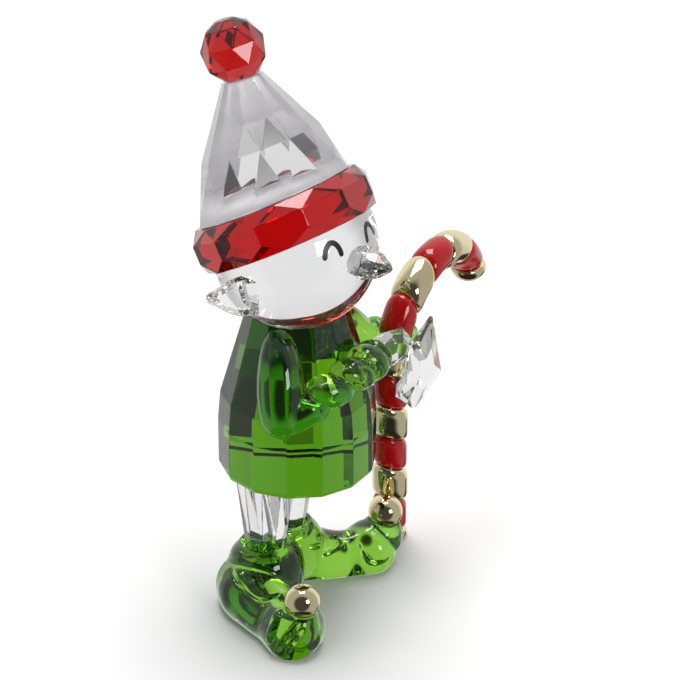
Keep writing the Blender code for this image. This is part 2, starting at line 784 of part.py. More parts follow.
def build_boot(name, side, foot_route, toe_route, creases, material):
    """A curled-toe boot: a swept foot, toe and shaft fused with creases, with a seat for the ball."""
    foot = soft_tube(foot_route, FOOT_SIDES, FOOT_RINGS, FOOT_ACROSS, no_folds)
    cut_flat(foot, Vector((0.0, 0.0, SOLE_Z)), Vector((0.0, 0.0, -1.0)))
    cut_flat(foot, MIDDLE, Vector((-1.0, 0.0, 0.0)))
    toe = soft_tube(toe_route, FOOT_SIDES, TOE_RINGS, FOOT_ACROSS, no_folds)
    boot = new_object(name, flip_side(foot, side), material, CAST_EDGE)
    join_solid(boot, new_object(name + "_toe_tool", flip_side(toe, side), None))
    shaft = skin_rings(shaft_rings())
    cut_flat(shaft, MIDDLE, Vector((-1.0, 0.0, 0.0)))
    join_solid(boot, new_object(name + "_shaft_tool", flip_side(shaft, side), None))
    if side < 0:
        leaf = soft_tube(RIGHT_LEAF, LEAF_SIDES, LEAF_RINGS, LEAF_ACROSS, no_folds)
        join_solid(boot, new_object(name + "_leaf_tool", flip_side(leaf, side), None))
    carve_creases(boot, side, creases)
    socket = skin_rings(
        [
            circle(SHAFT_SIDES, SOCKET_RADIUS, SOCKET_RADIUS, LEG_BOTTOM.z - GLUE),
            circle(SHAFT_SIDES, SOCKET_RADIUS, SOCKET_RADIUS, COLLAR_Z + GLUE),
        ]
    )
    socket_tool = new_object(name + "_socket_tool", socket, None)
    socket_tool.location = mirrored(ANKLE_CENTRE, side)
    subtract(boot, socket_tool)
    ball = build_ball(TOE_BALL_RADIUS + SEAT, TOE_BALL_SEGMENTS, TOE_BALL_RINGS)
    seat = new_object(name + "_seat_tool", ball, None)
    seat.location = mirrored(TOE_BALL_CENTRE, side)
    subtract(boot, seat)
    return boot


def build_toe_ball(name, side, material):
    """The polished metal ball at the tip of a boot."""
    builder = build_ball(TOE_BALL_RADIUS, TOE_BALL_SEGMENTS, TOE_BALL_RINGS)
    ball = new_object(name, builder, material, BALL_EDGE)
    ball.location = mirrored(TOE_BALL_CENTRE, side)
    return ball


def sleeve_folds(position, angle):
    """Bunched cloth: full rounds with sharp creases between them, slanting round the sleeve."""
    place = (position - SLEEVE_FIRST_CREASE + SLEEVE_SLANT * math.cos(angle)) / SLEEVE_CREASE_PITCH
    place = min(max(place, -0.5), SLEEVE_CREASES - 0.5)
    return -SLEEVE_CREASE_DEPTH * (1.0 - abs(math.sin(math.pi * place))) ** 1.5


def grown(stations, margin):
    """The same sleeve stations with their radii larger by a margin in millimetres."""
    return [(x, y, z, across + margin, upward + margin) for x, y, z, across, upward in stations]


def build_sleeve(name, side, upper, lower, margin, material):
    """The two fused tubes of a sleeve, grown by a margin when they serve as a tool."""
    sleeve = soft_tube(grown(upper, margin), SLEEVE_SIDES, UPPER_ARM_RINGS, SLEEVE_ACROSS, no_folds)
    cuff = soft_tube(grown(lower, margin), SLEEVE_SIDES, FOREARM_RINGS, SLEEVE_ACROSS, sleeve_folds)
    arm = new_object(name, flip_side(sleeve, side), material, SLEEVE_EDGE)
    join_solid(arm, new_object(name + "_cuff_tool", flip_side(cuff, side), None))
    return arm


def build_arm(name, side, upper, lower, material, tools):
    """A sleeve with soft rounded folds, creased at the elbow and cut where it is glued."""
    arm = build_sleeve(name, side, upper, lower, 0.0, material)
    for tool in tools:
        subtract(arm, tool)
    return build_sleeve(name + "_grown_tool", side, upper, lower, SEAT / MM, None)


def build_hand(name, outline, thickness, frame, material, tools):
    """A clear faceted mitten: a pointed outline between two smaller faces, cut where it grips."""
    centre = sum((Vector(point) for point in outline), Vector((0.0, 0.0))) / len(outline)
    rings = []
    for depth, shrink in HAND_LAYERS:
        ring = []
        for corner in outline:
            point = (centre + (Vector(corner) - centre) * shrink) * MM
            ring.append(Vector((point.x, point.y, depth * thickness)))
        rings.append(ring)
    hand = new_object(name, skin_rings(rings), material)
    hand.matrix_world = frame
    for tool in tools:
        subtract(hand, tool)
    return hand


def cane_point(distance):
    """The cane's centre line: straight up the shaft and then round the hook, with its tangent."""
    if distance <= CANE_STRAIGHT:
        return CANE_FOOT + CANE_AXIS * distance, CANE_AXIS.copy()
    angle = (distance - CANE_STRAIGHT) / HOOK_RADIUS
    side = hook_side()
    centre = CANE_FOOT + CANE_AXIS * CANE_STRAIGHT + side * HOOK_RADIUS
    point = centre + (CANE_AXIS * math.sin(angle) - side * math.cos(angle)) * HOOK_RADIUS
    return point, CANE_AXIS * math.cos(angle) + side * math.sin(angle)


def hook_side():
    """The direction, square to the shaft, in which the hook bends over."""
    return (HOOK_SIDE - CANE_AXIS * HOOK_SIDE.dot(CANE_AXIS)).normalized()


def cane_ring(distance, radius, slanted):
    """A ring round the cane whose outer side runs ahead, so that the bands lie on a slant."""
    binormal = CANE_AXIS.cross(hook_side())
    loop = []
    for index in range(CANE_SIDES):
        angle = 2.0 * math.pi * index / CANE_SIDES
        shift = radius * math.cos(angle) * math.tan(CANE_SLANT) * slanted
        point, tangent = cane_point(distance + shift)
        outward = tangent.cross(binormal)
        loop.append(point + (outward * math.cos(angle) + binormal * math.sin(angle)) * radius)
    return loop


def barrel_radius(share, widest):
    """Radius of a barrel segment at a share of its length, with rounded shoulders."""
    edge = abs(2.0 * share - 1.0)
    return widest * (1.0 - SHOULDER_DROP * edge ** SHOULDER_SHARPNESS)


def dome_radius(share, widest):
    """Radius of the last segment at a share of its length: a shoulder, then a domed end."""
    if share < DOME_SHARE:
        return barrel_radius(share / DOME_SHARE * 0.5, widest)
    climb = (share - DOME_SHARE) / (1.0 - DOME_SHARE)
    return widest * math.sqrt(1.0 - DOME_CLOSING * climb ** 2)


def segment_start(segment):
    """The distance along the cane at which a segment begins; the one at the foot is cut short."""
    if segment == 0:
        return CANE_START
    if segment == CANE_SEGMENTS:
        return segment_start(segment - 1) + CANE_END_LENGTH
    return CANE_FOOT_LENGTH + (segment - 1) * CANE_PITCH


def build_cane(material):
    """The cast metal cane: gold barrels joined by thinner necks that carry the red bands."""
    loops = []
    last = CANE_SEGMENTS - 1
    for segment in range(0, CANE_SEGMENTS, 2):
        start = segment_start(segment)
        end = segment_start(segment + 1)
        for step in range(BARREL_STEPS + 1):
            share = step / BARREL_STEPS
            slanted = 1.0
            if segment == 0:
                slanted = share
            if segment == last:
                slanted = 1.0 - share
            radius = barrel_radius(share, CANE_GOLD_RADIUS)
            if segment == last:
                radius = dome_radius(share, CANE_GOLD_RADIUS)
            loops.append(cane_ring(start + share * (end - start), radius, slanted))
        if segment < last:
            for step in range(NECK_STEPS + 1):
                loops.append(cane_ring(end + step / NECK_STEPS * CANE_PITCH, CANE_NECK_RADIUS, 1.0))
    return new_object("cane_core", skin_rings(loops), material, CAST_EDGE)


def build_band(name, number, material):
    """A red enamel band: a barrel ring that fills the neck between two gold segments."""
    start = segment_start(2 * number - 1) + GLUE
    length = CANE_PITCH - 2.0 * GLUE
    loops = []
    for step in range(BARREL_STEPS + 1):
        share = step / BARREL_STEPS
        loops.append(cane_ring(start + share * length, barrel_radius(share, CANE_RED_RADIUS), 1.0))
    for step in range(NECK_STEPS, -1, -1):
        loops.append(cane_ring(start + step / NECK_STEPS * length, CANE_NECK_RADIUS + GLUE, 1.0))
    builder = bmesh.new()
    rows = [[builder.verts.new(point) for point in loop] for loop in loops]
    rows.append(rows[0])
    for lower, upper in zip(rows, rows[1:]):
        for index in range(CANE_SIDES):
            following = (index + 1) % CANE_SIDES
            builder.faces.new((lower[index], lower[following], upper[following], upper[index]))
    return new_object(name, builder, material, CAST_EDGE)


def build_cane_tool():
    """A plain rod a little wider than the cane, which cuts the grip of the hands and the boot."""
    radius = CANE_GOLD_RADIUS + SEAT
    loops = [cane_ring(-CANE_GOLD_RADIUS, radius, 0.0), cane_ring(CANE_STRAIGHT, radius, 0.0)]
    for step in range(1, GRIP_STEPS + 1):
        loops.append(cane_ring(CANE_STRAIGHT + step / 2 * CANE_GOLD_RADIUS, radius, 0.0))
    return new_object("cane_grip_tool", skin_rings(loops), None)


def stand_in_box():
    """Parent every piece to one empty, which moves the origin under the middle of the figurine."""
    stand = bpy.data.objects.new("figurine", None)
    stand.location = STAND_SHIFT
    pieces = list(bpy.data.objects)
    bpy.context.scene.collection.objects.link(stand)
    for piece in pieces:
        if piece is not stand:
            piece.parent = stand


def clear_scene():
    """Start from an empty scene."""
    for item in list(bpy.data.objects):
        bpy.data.objects.remove(item, do_unlink=True)


def main():
    """Build every piece of the figurine."""
    clear_scene()
    green = make_material("green_crystal", (0.085, 0.33, 0.015), 0.03, transmission=0.8)
    clear = make_material("clear_crystal", (0.93, 0.94, 0.96), 0.02, transmission=0.9)
    red = make_material("red_crystal", (0.56, 0.012, 0.018), 0.03, transmission=0.7)
    gold = make_material("gold_plating", (0.78, 0.64, 0.38), 0.12, metallic=1.0)
    enamel = make_material("red_enamel", (0.42, 0.0, 0.0), 0.15)

    head_tool = build_head_tool()
    tunic_tool = build_tunic_tool()
    cane_tool = build_cane_tool()
    build_tunic(green)
    build_head(clear)
    build_brim(red)
    build_cone(clear)
    build_pompom(red)
    build_nose(clear, head_tool)
    left_creases = [LEFT_TONGUE_CREASE, LEFT_MIDDLE_CREASE, LEFT_TOE_CREASE]
    right_creases = [RIGHT_HEM_CREASE, RIGHT_BALL_CREASE, RIGHT_TIP_CREASE]
    build_boot("left_boot", 1, LEFT_FOOT, LEFT_TOE, left_creases, green)
    build_boot("right_boot", -1, RIGHT_FOOT, RIGHT_TOE, right_creases, green)
    for name, side in (("left", 1), ("right", -1)):
        build_ear(name + "_ear", side, clear, head_tool)
        build_leg(name + "_leg", side, clear)
        build_toe_ball(name + "_toe_ball", side, gold)
    grips = [tunic_tool, cane_tool]
    left_sleeve_tool = build_arm("left_arm", 1, LEFT_UPPER_ARM, LEFT_FOREARM, green, grips)
    right_sleeve_tool = build_arm("right_arm", -1, RIGHT_UPPER_ARM, RIGHT_FOREARM, green, grips)
    for name, place, facing, outline, sleeve_tool in (
        ("left_hand", LEFT_HAND_PLACE, LEFT_HAND_FACING, LEFT_HAND_OUTLINE, left_sleeve_tool),
        ("right_hand", RIGHT_HAND_PLACE, RIGHT_HAND_FACING, RIGHT_HAND_OUTLINE, right_sleeve_tool),
    ):
        frame = frame_at(place, facing, Vector((0.0, 0.0, 1.0)))
        build_hand(name, outline, HAND_THICKNESS, frame, clear, grips + [sleeve_tool])
    build_cane(gold)
    for number in range(1, CANE_BANDS + 1):
        build_band("cane_band_" + str(number), number, enamel)
    stand_in_box()


if __name__ == "__main__":
    main()
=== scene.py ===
"""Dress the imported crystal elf: cut glass, cast gold and enamel, on a pale floor in soft light.

The file is laid out like an add-on: sizes and colours are properties, and every piece or group of
like pieces has an operator. Run as a script, it registers them and calls them in order. Everything
is in metres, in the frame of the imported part. The elf faces -Y and its left side is +X.
"""

import math

import bmesh
import bpy
from bpy.props import FloatProperty, FloatVectorProperty, IntProperty, PointerProperty
from bpy.types import Operator, Panel, PropertyGroup
from mathutils import Matrix, Vector
from mathutils.kdtree import KDTree


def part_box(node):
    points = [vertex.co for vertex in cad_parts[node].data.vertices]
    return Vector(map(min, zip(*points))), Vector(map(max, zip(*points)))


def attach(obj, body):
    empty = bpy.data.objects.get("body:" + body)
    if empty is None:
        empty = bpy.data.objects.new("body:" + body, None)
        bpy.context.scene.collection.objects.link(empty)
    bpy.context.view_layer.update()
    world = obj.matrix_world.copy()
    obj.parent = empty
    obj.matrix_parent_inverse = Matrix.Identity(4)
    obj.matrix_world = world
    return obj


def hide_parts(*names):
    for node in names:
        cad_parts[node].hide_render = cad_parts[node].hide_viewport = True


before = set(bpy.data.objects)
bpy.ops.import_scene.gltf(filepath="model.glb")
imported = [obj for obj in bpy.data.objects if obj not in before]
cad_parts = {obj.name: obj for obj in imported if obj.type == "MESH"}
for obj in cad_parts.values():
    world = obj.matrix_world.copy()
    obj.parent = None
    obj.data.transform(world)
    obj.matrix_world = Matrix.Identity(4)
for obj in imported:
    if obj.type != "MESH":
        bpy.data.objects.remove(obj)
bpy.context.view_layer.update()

bl_info = {
    "name": "Crystal elf figurine",
    "version": (1, 0, 0),
    "blender": (4, 5, 0),
    "location": "3D View > Sidebar > Crystal Elf",
    "description": "Cut crystal, cast gold and enamel finishes for an elf that holds a candy cane",
    "category": "Object",
}

MM = 0.001
BODY = "root"

# The pieces are drawn about the tunic's axis, which lies here in the part's frame.
STAND_SHIFT = Vector((-12.87, 0.85, 0.0)) * MM

# Glue line between two pieces, and the clearance of a piece that is seated on a neighbour.
GLUE = 0.1 * MM
SEAT = 0.15 * MM
MIDDLE = Vector((GLUE / 2, 0.0, 0.0))


def linear(hex_colour):
    """An sRGB hex value such as #62A024 as the three linear values that a shader takes."""
    channels = []
    for start in (1, 3, 5):
        value = int(hex_colour[start:start + 2], 16) / 255.0
        if value <= 0.04045:
            channels.append(value / 12.92)
        else:
            channels.append(((value + 0.055) / 1.055) ** 2.4)
    return channels


class ElfSizes(PropertyGroup):
    """Sizes that a maker of the figurine would change."""

    edge_polish: FloatProperty(
        name="Edge polish", description="Width of the polished bevel on a cut edge",
        default=0.09 * MM, min=0.0, max=0.5 * MM, unit="LENGTH",
    )
    head_radius: FloatProperty(
        name="Head radius", description="Radius of the polished ball of the head",
        default=12.95 * MM, min=5.0 * MM, max=30.0 * MM, unit="LENGTH",
    )
    toe_ball_radius: FloatProperty(
        name="Toe ball radius", description="Radius of the gold ball on each boot",
        default=2.8 * MM, min=1.0 * MM, max=6.0 * MM, unit="LENGTH",
    )
    cane_gold_radius: FloatProperty(
        name="Gold radius", description="Widest radius of a gold barrel of the cane",
        default=2.93 * MM, min=1.0 * MM, max=6.0 * MM, unit="LENGTH",
    )
    cane_red_radius: FloatProperty(
        name="Band radius", description="Widest radius of an enamel band of the cane",
        default=2.75 * MM, min=1.0 * MM, max=6.0 * MM, unit="LENGTH",
    )
    eye_stroke: FloatProperty(
        name="Eye stroke", description="Width of the painted line of an eye",
        default=0.85 * MM, min=0.1 * MM, max=2.0 * MM, unit="LENGTH",
    )
    crease_depth: FloatProperty(
        name="Crease depth", description="Depth of the creases pressed into the boots",
        default=0.5 * MM, min=0.0, max=1.0 * MM, unit="LENGTH",
    )
    voxel: FloatProperty(
        name="Cast detail", description="Grid on which the soft crystal forms are fused",
        default=0.2 * MM, min=0.1 * MM, max=1.0 * MM, unit="LENGTH",
    )
    round_sides: IntProperty(
        name="Round sides", description="Sides of the balls and of the cane",
        default=64, min=16, max=128,
    )


class ElfColours(PropertyGroup):
    """Colours of the crystals, the metal and the paint."""

    green_tint: FloatVectorProperty(
        name="Green tint", description="Tint at the surface of the green crystal",
        subtype="COLOR", default=linear("#B4EE84"), min=0.0, max=1.0,
    )
    green_depth: FloatVectorProperty(
        name="Green depth", description="Colour that the green crystal takes with depth",
        subtype="COLOR", default=linear("#D2E530"), min=0.0, max=1.0,
    )
    red_tint: FloatVectorProperty(
        name="Red tint", description="Tint at the surface of the red crystal",
        subtype="COLOR", default=linear("#F8D0D0"), min=0.0, max=1.0,
    )
    red_depth: FloatVectorProperty(
        name="Red depth", description="Colour that the red crystal takes with depth",
        subtype="COLOR", default=linear("#F84048"), min=0.0, max=1.0,
    )
    pompom_depth: FloatVectorProperty(
        name="Pompom depth", description="Colour that the deeper red crystal of the pompom takes with depth",
        subtype="COLOR", default=linear("#F14548"), min=0.0, max=1.0,
    )
    gold: FloatVectorProperty(
        name="Gold", description="Reflection of the pale gold plating",
        subtype="COLOR", default=linear("#E9DCB0"), min=0.0, max=1.0,
    )
    enamel: FloatVectorProperty(
        name="Enamel", description="Colour of the red enamel on the cane",
        subtype="COLOR", default=linear("#A80508"), min=0.0, max=1.0,
    )
    eye_paint: FloatVectorProperty(
        name="Eye paint", description="Colour of the painted eyes",
        subtype="COLOR", default=linear("#07080A"), min=0.0, max=1.0,
    )
    ground_face: FloatVectorProperty(
        name="Ground face", description="Colour of a ground, glued crystal face",
        subtype="COLOR", default=linear("#F2F2F4"), min=0.0, max=1.0,
    )
    floor: FloatVectorProperty(
        name="Floor", description="Colour of the studio floor",
        subtype="COLOR", default=linear("#F4F4F4"), min=0.0, max=1.0,
    )


def add_node(tree, kind, settings=None, links=None):
    """Add a node with its properties or input values, then link its inputs from other sockets."""
    node = tree.nodes.new(kind)
    for key, value in (settings or {}).items():
        if key in node.inputs:
            node.inputs[key].default_value = value
        else:
            setattr(node, key, value)
    for key, socket in (links or {}).items():
        tree.links.new(socket, node.inputs[key])
    return node


def new_material(name):
    """An empty node tree in a new material, with its output node."""
    material = bpy.data.materials.new(name)
    material.use_nodes = True
    material.node_tree.nodes.clear()
    output = add_node(material.node_tree, "ShaderNodeOutputMaterial")
    return material, material.node_tree, output


# Refractive indices: lead crystal lies between about 1.54 and 1.7. The head's index is higher than
# that: it was matched to the red crescent along the lower edge of the head.
CRYSTAL_INDEX = 1.6
DENSE_INDEX = 1.9

# How fast each glass takes up its depth colour, per metre, and the faint grey of the clear one.
GREEN_DENSITY = 170.0
RED_DENSITY = 350.0
POMPOM_DENSITY = 480.0
CLEAR_DENSITY = 6.0
CLEAR = (1.0, 1.0, 1.0)
CLEAR_DEPTH = (0.93, 0.94, 0.97)
RIPPLE_LENGTH = 5.0 * MM
RIPPLE_HEIGHT = 0.1 * MM


def lead_crystal(name, tint, depth, density, index):
    """Lead crystal, cut and polished: clear to the core, so the facets mirror and bend the light.

    The high index gives the eye dark and bright patches behind the facets. Part of the colour lies
    in the glass and grows with depth, so a thin rim stays paler than the middle.
    """
    material, tree, output = new_material(name)
    shader = add_node(tree, "ShaderNodeBsdfPrincipled", {
        "Base Color": (*tint, 1.0),
        "Roughness": 0.0,
        "IOR": index,
        "Transmission Weight": 1.0,
    })
    volume = add_node(tree, "ShaderNodeVolumeAbsorption", {"Color": (*depth, 1.0), "Density": density})
    tree.links.new(shader.outputs["BSDF"], output.inputs["Surface"])
    tree.links.new(volume.outputs["Volume"], output.inputs["Volume"])
    return material


def green_lead_crystal():
    """Green lead crystal for the tunic, the sleeves and the boots."""
    colours = bpy.context.scene.elf_colours
    return lead_crystal(
        "green_lead_crystal", colours.green_tint, colours.green_depth, GREEN_DENSITY, CRYSTAL_INDEX
    )


def red_lead_crystal():
    """Red lead crystal for the brim."""
    colours = bpy.context.scene.elf_colours
    return lead_crystal("red_lead_crystal", colours.red_tint, colours.red_depth, RED_DENSITY, CRYSTAL_INDEX)


def deep_red_lead_crystal():
    """A deeper melt of the red crystal for the pompom, which is darker than the brim."""
    colours = bpy.context.scene.elf_colours
    return lead_crystal(
        "deep_red_lead_crystal", colours.red_tint, colours.pompom_depth, POMPOM_DENSITY, CRYSTAL_INDEX
    )


def clear_lead_crystal():
    """Clear lead crystal for the cone, the nose, the ears, the hands and the legs."""
    return lead_crystal("clear_lead_crystal", CLEAR, CLEAR_DEPTH, CLEAR_DENSITY, CRYSTAL_INDEX)


def dense_lead_crystal():
    """The clear glass of the head's ball, which bends the brim's red into its lower edge."""
    return lead_crystal("dense_lead_crystal", CLEAR, CLEAR_DEPTH, CLEAR_DENSITY, DENSE_INDEX)


def ground_crystal():
    """A crystal face ground for gluing: matt and white, so it glows through the clear piece."""
    material, tree, output = new_material("ground_crystal_face")
    shader = add_node(tree, "ShaderNodeBsdfPrincipled", {
        "Base Color": (*bpy.context.scene.elf_colours.ground_face, 1.0), "Roughness": 0.9,
    })
    tree.links.new(shader.outputs["BSDF"], output.inputs["Surface"])
    return material


def pale_gold_plating():
    """Pale gold electroplated on a polished zinc casting: a mirror with a warm grey cast."""
    material, tree, output = new_material("pale_gold_plating")
    position = add_node(tree, "ShaderNodeTexCoord")
    # The waviness of the casting under the polish, at its real size.
    ripple = add_node(tree, "ShaderNodeTexNoise", {"Scale": 1.0 / RIPPLE_LENGTH, "Detail": 1.0}, {
        "Vector": position.outputs["Object"],
    })
    bump = add_node(tree, "ShaderNodeBump", {"Strength": 0.04, "Distance": RIPPLE_HEIGHT}, {
        "Height": ripple.outputs["Fac"],
    })
    shader = add_node(tree, "ShaderNodeBsdfPrincipled", {
        "Base Color": (*bpy.context.scene.elf_colours.gold, 1.0), "Metallic": 1.0, "Roughness": 0.06,
    }, {"Normal": bump.outputs["Normal"]})
    tree.links.new(shader.outputs["BSDF"], output.inputs["Surface"])
    return material


def red_cold_enamel():
    """Cold enamel, poured thick and polished: deep red with a clean wide highlight."""
    material, tree, output = new_material("red_cold_enamel")
    shader = add_node(tree, "ShaderNodeBsdfPrincipled", {
        "Base Color": (*bpy.context.scene.elf_colours.enamel, 1.0), "Roughness": 0.12,
        "Coat Weight": 0.15, "Coat Roughness": 0.03,
    })
    tree.links.new(shader.outputs["BSDF"], output.inputs["Surface"])
    return material


def black_screen_print():
    """Black screen-printed paint, smooth and a little shiny."""
    material, tree, output = new_material("black_screen_print")
    shader = add_node(tree, "ShaderNodeBsdfPrincipled", {
        "Base Color": (*bpy.context.scene.elf_colours.eye_paint, 1.0), "Roughness": 0.3,
    })
    tree.links.new(shader.outputs["BSDF"], output.inputs["Surface"])
    return material


def finish(maker):
    """The material that a function makes, made once."""
    return bpy.data.materials.get(maker.__name__) or maker()


def new_piece(name, builder, maker, nodes, smooth_angle=None):
    """A piece that rides on the figurine, has one finish and stands for its CAD nodes."""
    bmesh.ops.recalc_face_normals(builder, faces=builder.faces)
    mesh = bpy.data.meshes.new(name)
    builder.to_mesh(mesh)
    builder.free()
    piece = bpy.data.objects.new(name, mesh)
    bpy.context.scene.collection.objects.link(piece)
    mesh.materials.append(finish(maker))
    if smooth_angle is not None:
        mesh.shade_smooth()
        mesh.set_sharp_from_angle(angle=smooth_angle)
    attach(piece, BODY)
    if nodes:
        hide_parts(*nodes)
    return piece


def flip_side(builder, side):
    """Mirror a bmesh of the left side when the right side is built."""
    if side < 0:
        bmesh.ops.scale(builder, vec=(-1.0, 1.0, 1.0), verts=builder.verts)
        bmesh.ops.reverse_faces(builder, faces=builder.faces)
    return builder


def cut_flat(builder, point, normal):
    """Remove what lies on the normal's side of a plane and close the cut with a flat face."""
    geometry = list(builder.verts) + list(builder.edges) + list(builder.faces)
    result = bmesh.ops.bisect_plane(
        builder, geom=geometry, plane_co=point, plane_no=normal, clear_outer=True, dist=1e-7
    )
    edges = [item for item in result["geom_cut"] if isinstance(item, bmesh.types.BMEdge)]
    bmesh.ops.holes_fill(builder, edges=edges, sides=0)


def skin_rings(rings):
    """A closed bmesh skinned over rings of equal count, with a flat cap at each end."""
    builder = bmesh.new()
    rows = []
    for ring in rings:
        rows.append([builder.verts.new(point) for point in ring])
    for lower, upper in zip(rows, rows[1:]):
        count = len(lower)
        for index in range(count):
            following = (index + 1) % count
            builder.faces.new((lower[index], lower[following], upper[following], upper[index]))
    builder.faces.new(list(reversed(rows[0])))
    builder.faces.new(rows[-1])
    return builder


def circle(count, radius, z):
    """Points of a level ring about the Z axis."""
    points = []
    for index in range(count):
        angle = 2.0 * math.pi * index / count
        points.append(Vector((radius * math.cos(angle), radius * math.sin(angle), z)))
    return points


def spline_point(points, position):
    """A point on the smooth curve through the given values, at a position in steps from the first."""
    last = len(points) - 1
    index = min(int(position), last - 1)
    share = position - index
    before = points[max(index - 1, 0)]
    start = points[index]
    end = points[index + 1]
    after = points[min(index + 2, last)]
    leave = (end - before) * 0.5
    arrive = (after - start) * 0.5
    cube = share ** 3
    square = share ** 2
    return (
        start * (2 * cube - 3 * square + 1)
        + leave * (cube - 2 * square + share)
        + end * (3 * square - 2 * cube)
        + arrive * (cube - square)
    )


def soft_tube(stations, sides, rings, across, folds):
    """A closed bmesh swept over stations of (x, y, z, radius across, radius up) in millimetres.

    across is the direction of the first radius at the start; it is carried along without twist.
    folds(position, angle) gives the share by which the radius grows at that place.
    """
    points = [Vector(station[:3]) * MM for station in stations]
    widths = [station[3] * MM for station in stations]
    heights = [station[4] * MM for station in stations]
    span = len(stations) - 1
    loops = []
    for ring in range(rings + 1):
        position = span * ring / rings
        centre = spline_point(points, position)
        ahead = spline_point(points, min(position + 0.02, span))
        behind = spline_point(points, max(position - 0.02, 0.0))
        tangent = (ahead - behind).normalized()
        across = (across - tangent * across.dot(tangent)).normalized()
        upward = tangent.cross(across)
        width = spline_point(widths, position)
        height = spline_point(heights, position)
        loop = []
        for side in range(sides):
            angle = 2.0 * math.pi * side / sides
            swell = 1.0 + folds(ring / rings, angle)
            reach = across * (width * math.cos(angle)) + upward * (height * math.sin(angle))
            loop.append(centre + reach * swell)
        loops.append(loop)
    return skin_rings(loops)


def no_folds(position, angle):
    """A plain swept surface."""
    return 0.0


def ridge(distance, width):
    """A rounded bump of height 1 at distance 0 that fades out past the width."""
    return math.exp(-((distance / width) ** 2))


def gather(builders):
    """One bmesh that holds the shells of several."""
    whole = bmesh.new()
    for builder in builders:
        mesh = bpy.data.meshes.new("shell")
        builder.to_mesh(mesh)
        builder.free()
        whole.from_mesh(mesh)
        bpy.data.meshes.remove(mesh)
    return whole


def evaluated(builder, modifiers):
    """Run a bmesh through modifiers of (kind, settings) and return the result as a new bmesh."""
    mesh = bpy.data.meshes.new("blank")
    builder.to_mesh(mesh)
    builder.free()
    blank = bpy.data.objects.new("blank", mesh)
    bpy.context.scene.collection.objects.link(blank)
    for kind, settings in modifiers:
        modifier = blank.modifiers.new(kind.lower(), kind)
        for key, value in settings.items():
            setattr(modifier, key, value)
    bpy.context.view_layer.update()
    result = bmesh.new()
    result.from_object(blank, bpy.context.evaluated_depsgraph_get())
    bpy.data.objects.remove(blank)
    bpy.data.meshes.remove(mesh)
    return result


def fuse_shells(builders, voxel, passes):
    """Melt overlapping shells into one smooth skin, as if they had been cast together."""
    whole = gather(builders)
    bmesh.ops.recalc_face_normals(whole, faces=whole.faces)
    skin = evaluated(whole, [("REMESH", {"mode": "VOXEL", "voxel_size": voxel})])
    for _ in range(passes):
        bmesh.ops.smooth_vert(
            skin, verts=skin.verts, factor=0.5, use_axis_x=True, use_axis_y=True, use_axis_z=True
        )
    return skin


def subtract(builder, cutter):
    """Cut a bmesh by another closed bmesh."""
    mesh = bpy.data.meshes.new("cutter")
    bmesh.ops.recalc_face_normals(cutter, faces=cutter.faces)
    cutter.to_mesh(mesh)
    cutter.free()
    tool = bpy.data.objects.new("cutter", mesh)
    bpy.context.scene.collection.objects.link(tool)
    cut = {"operation": "DIFFERENCE", "solver": "EXACT", "object": tool}
    result = evaluated(builder, [("BOOLEAN", cut)])
    bpy.data.objects.remove(tool)
    bpy.data.meshes.remove(mesh)
    return result


WELD = 0.001 * MM
SAME_FACET = math.radians(0.5)
CUT_EDGE = math.radians(8.0)
FACING = 0.999


def cut_crystal(node, maker):
    """A carried-over crystal with each edge between two facets rounded by a hair, as polishing does."""
    builder = bmesh.new()
    builder.from_mesh(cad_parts[node].data)
    bmesh.ops.remove_doubles(builder, verts=builder.verts, dist=WELD)
    bmesh.ops.dissolve_limit(builder, angle_limit=SAME_FACET, verts=builder.verts, edges=builder.edges)
    edges = [edge for edge in builder.edges if edge.is_manifold and edge.calc_face_angle() > CUT_EDGE]
    bmesh.ops.bevel(
        builder, geom=edges, offset=bpy.context.scene.elf_sizes.edge_polish, offset_type="OFFSET",
        segments=2, profile=0.5, affect="EDGES", clamp_overlap=True,
    )
    return new_piece(node + "_cut", builder, maker, [node])


def glue_face(piece, direction, maker):
    """Give the flat that a piece is glued by, the faces that look along a direction, its own finish."""
    piece.data.materials.append(finish(maker))
    for polygon in piece.data.polygons:
        if polygon.normal.dot(direction) > FACING:
            polygon.material_index = 1


def ball_builder(radius, centre):
    """A finely divided ball."""
    sides = bpy.context.scene.elf_sizes.round_sides
    builder = bmesh.new()
    bmesh.ops.create_uvsphere(builder, u_segments=2 * sides, v_segments=sides, radius=radius)
    bmesh.ops.translate(builder, verts=builder.verts, vec=centre)
    return builder


class ELF_OT_tunic(Operator):
    """Cut and polish the green bell of the tunic"""

    bl_idname = "elf.tunic"
    bl_label = "Tunic"

    def execute(self, context):
        cut_crystal("tunic", green_lead_crystal)
        return {"FINISHED"}


HEAD_TURN = math.radians(-15.0)
HEAD_CENTRE = STAND_SHIFT + Vector((0.0, 0.2, 62.6)) * MM
NECK_Z = 52.3 * MM
HEAD_SHARP = math.radians(20.0)
BRIM_TILT = math.radians(31.0)
BRIM_OFFSET = 1.1 * MM
BRIM_AXIS = Matrix.Rotation(HEAD_TURN, 3, "Z") @ Vector((0.0, math.sin(BRIM_TILT), math.cos(BRIM_TILT)))


def head_point(azimuth, elevation, distance):
    """A point at a distance from the head's centre, by azimuth from the face and elevation."""
    level = math.cos(elevation)
    direction = Vector((level * math.sin(azimuth), -level * math.cos(azimuth), math.sin(elevation)))
    return HEAD_CENTRE + Matrix.Rotation(HEAD_TURN, 3, "Z") @ direction * distance


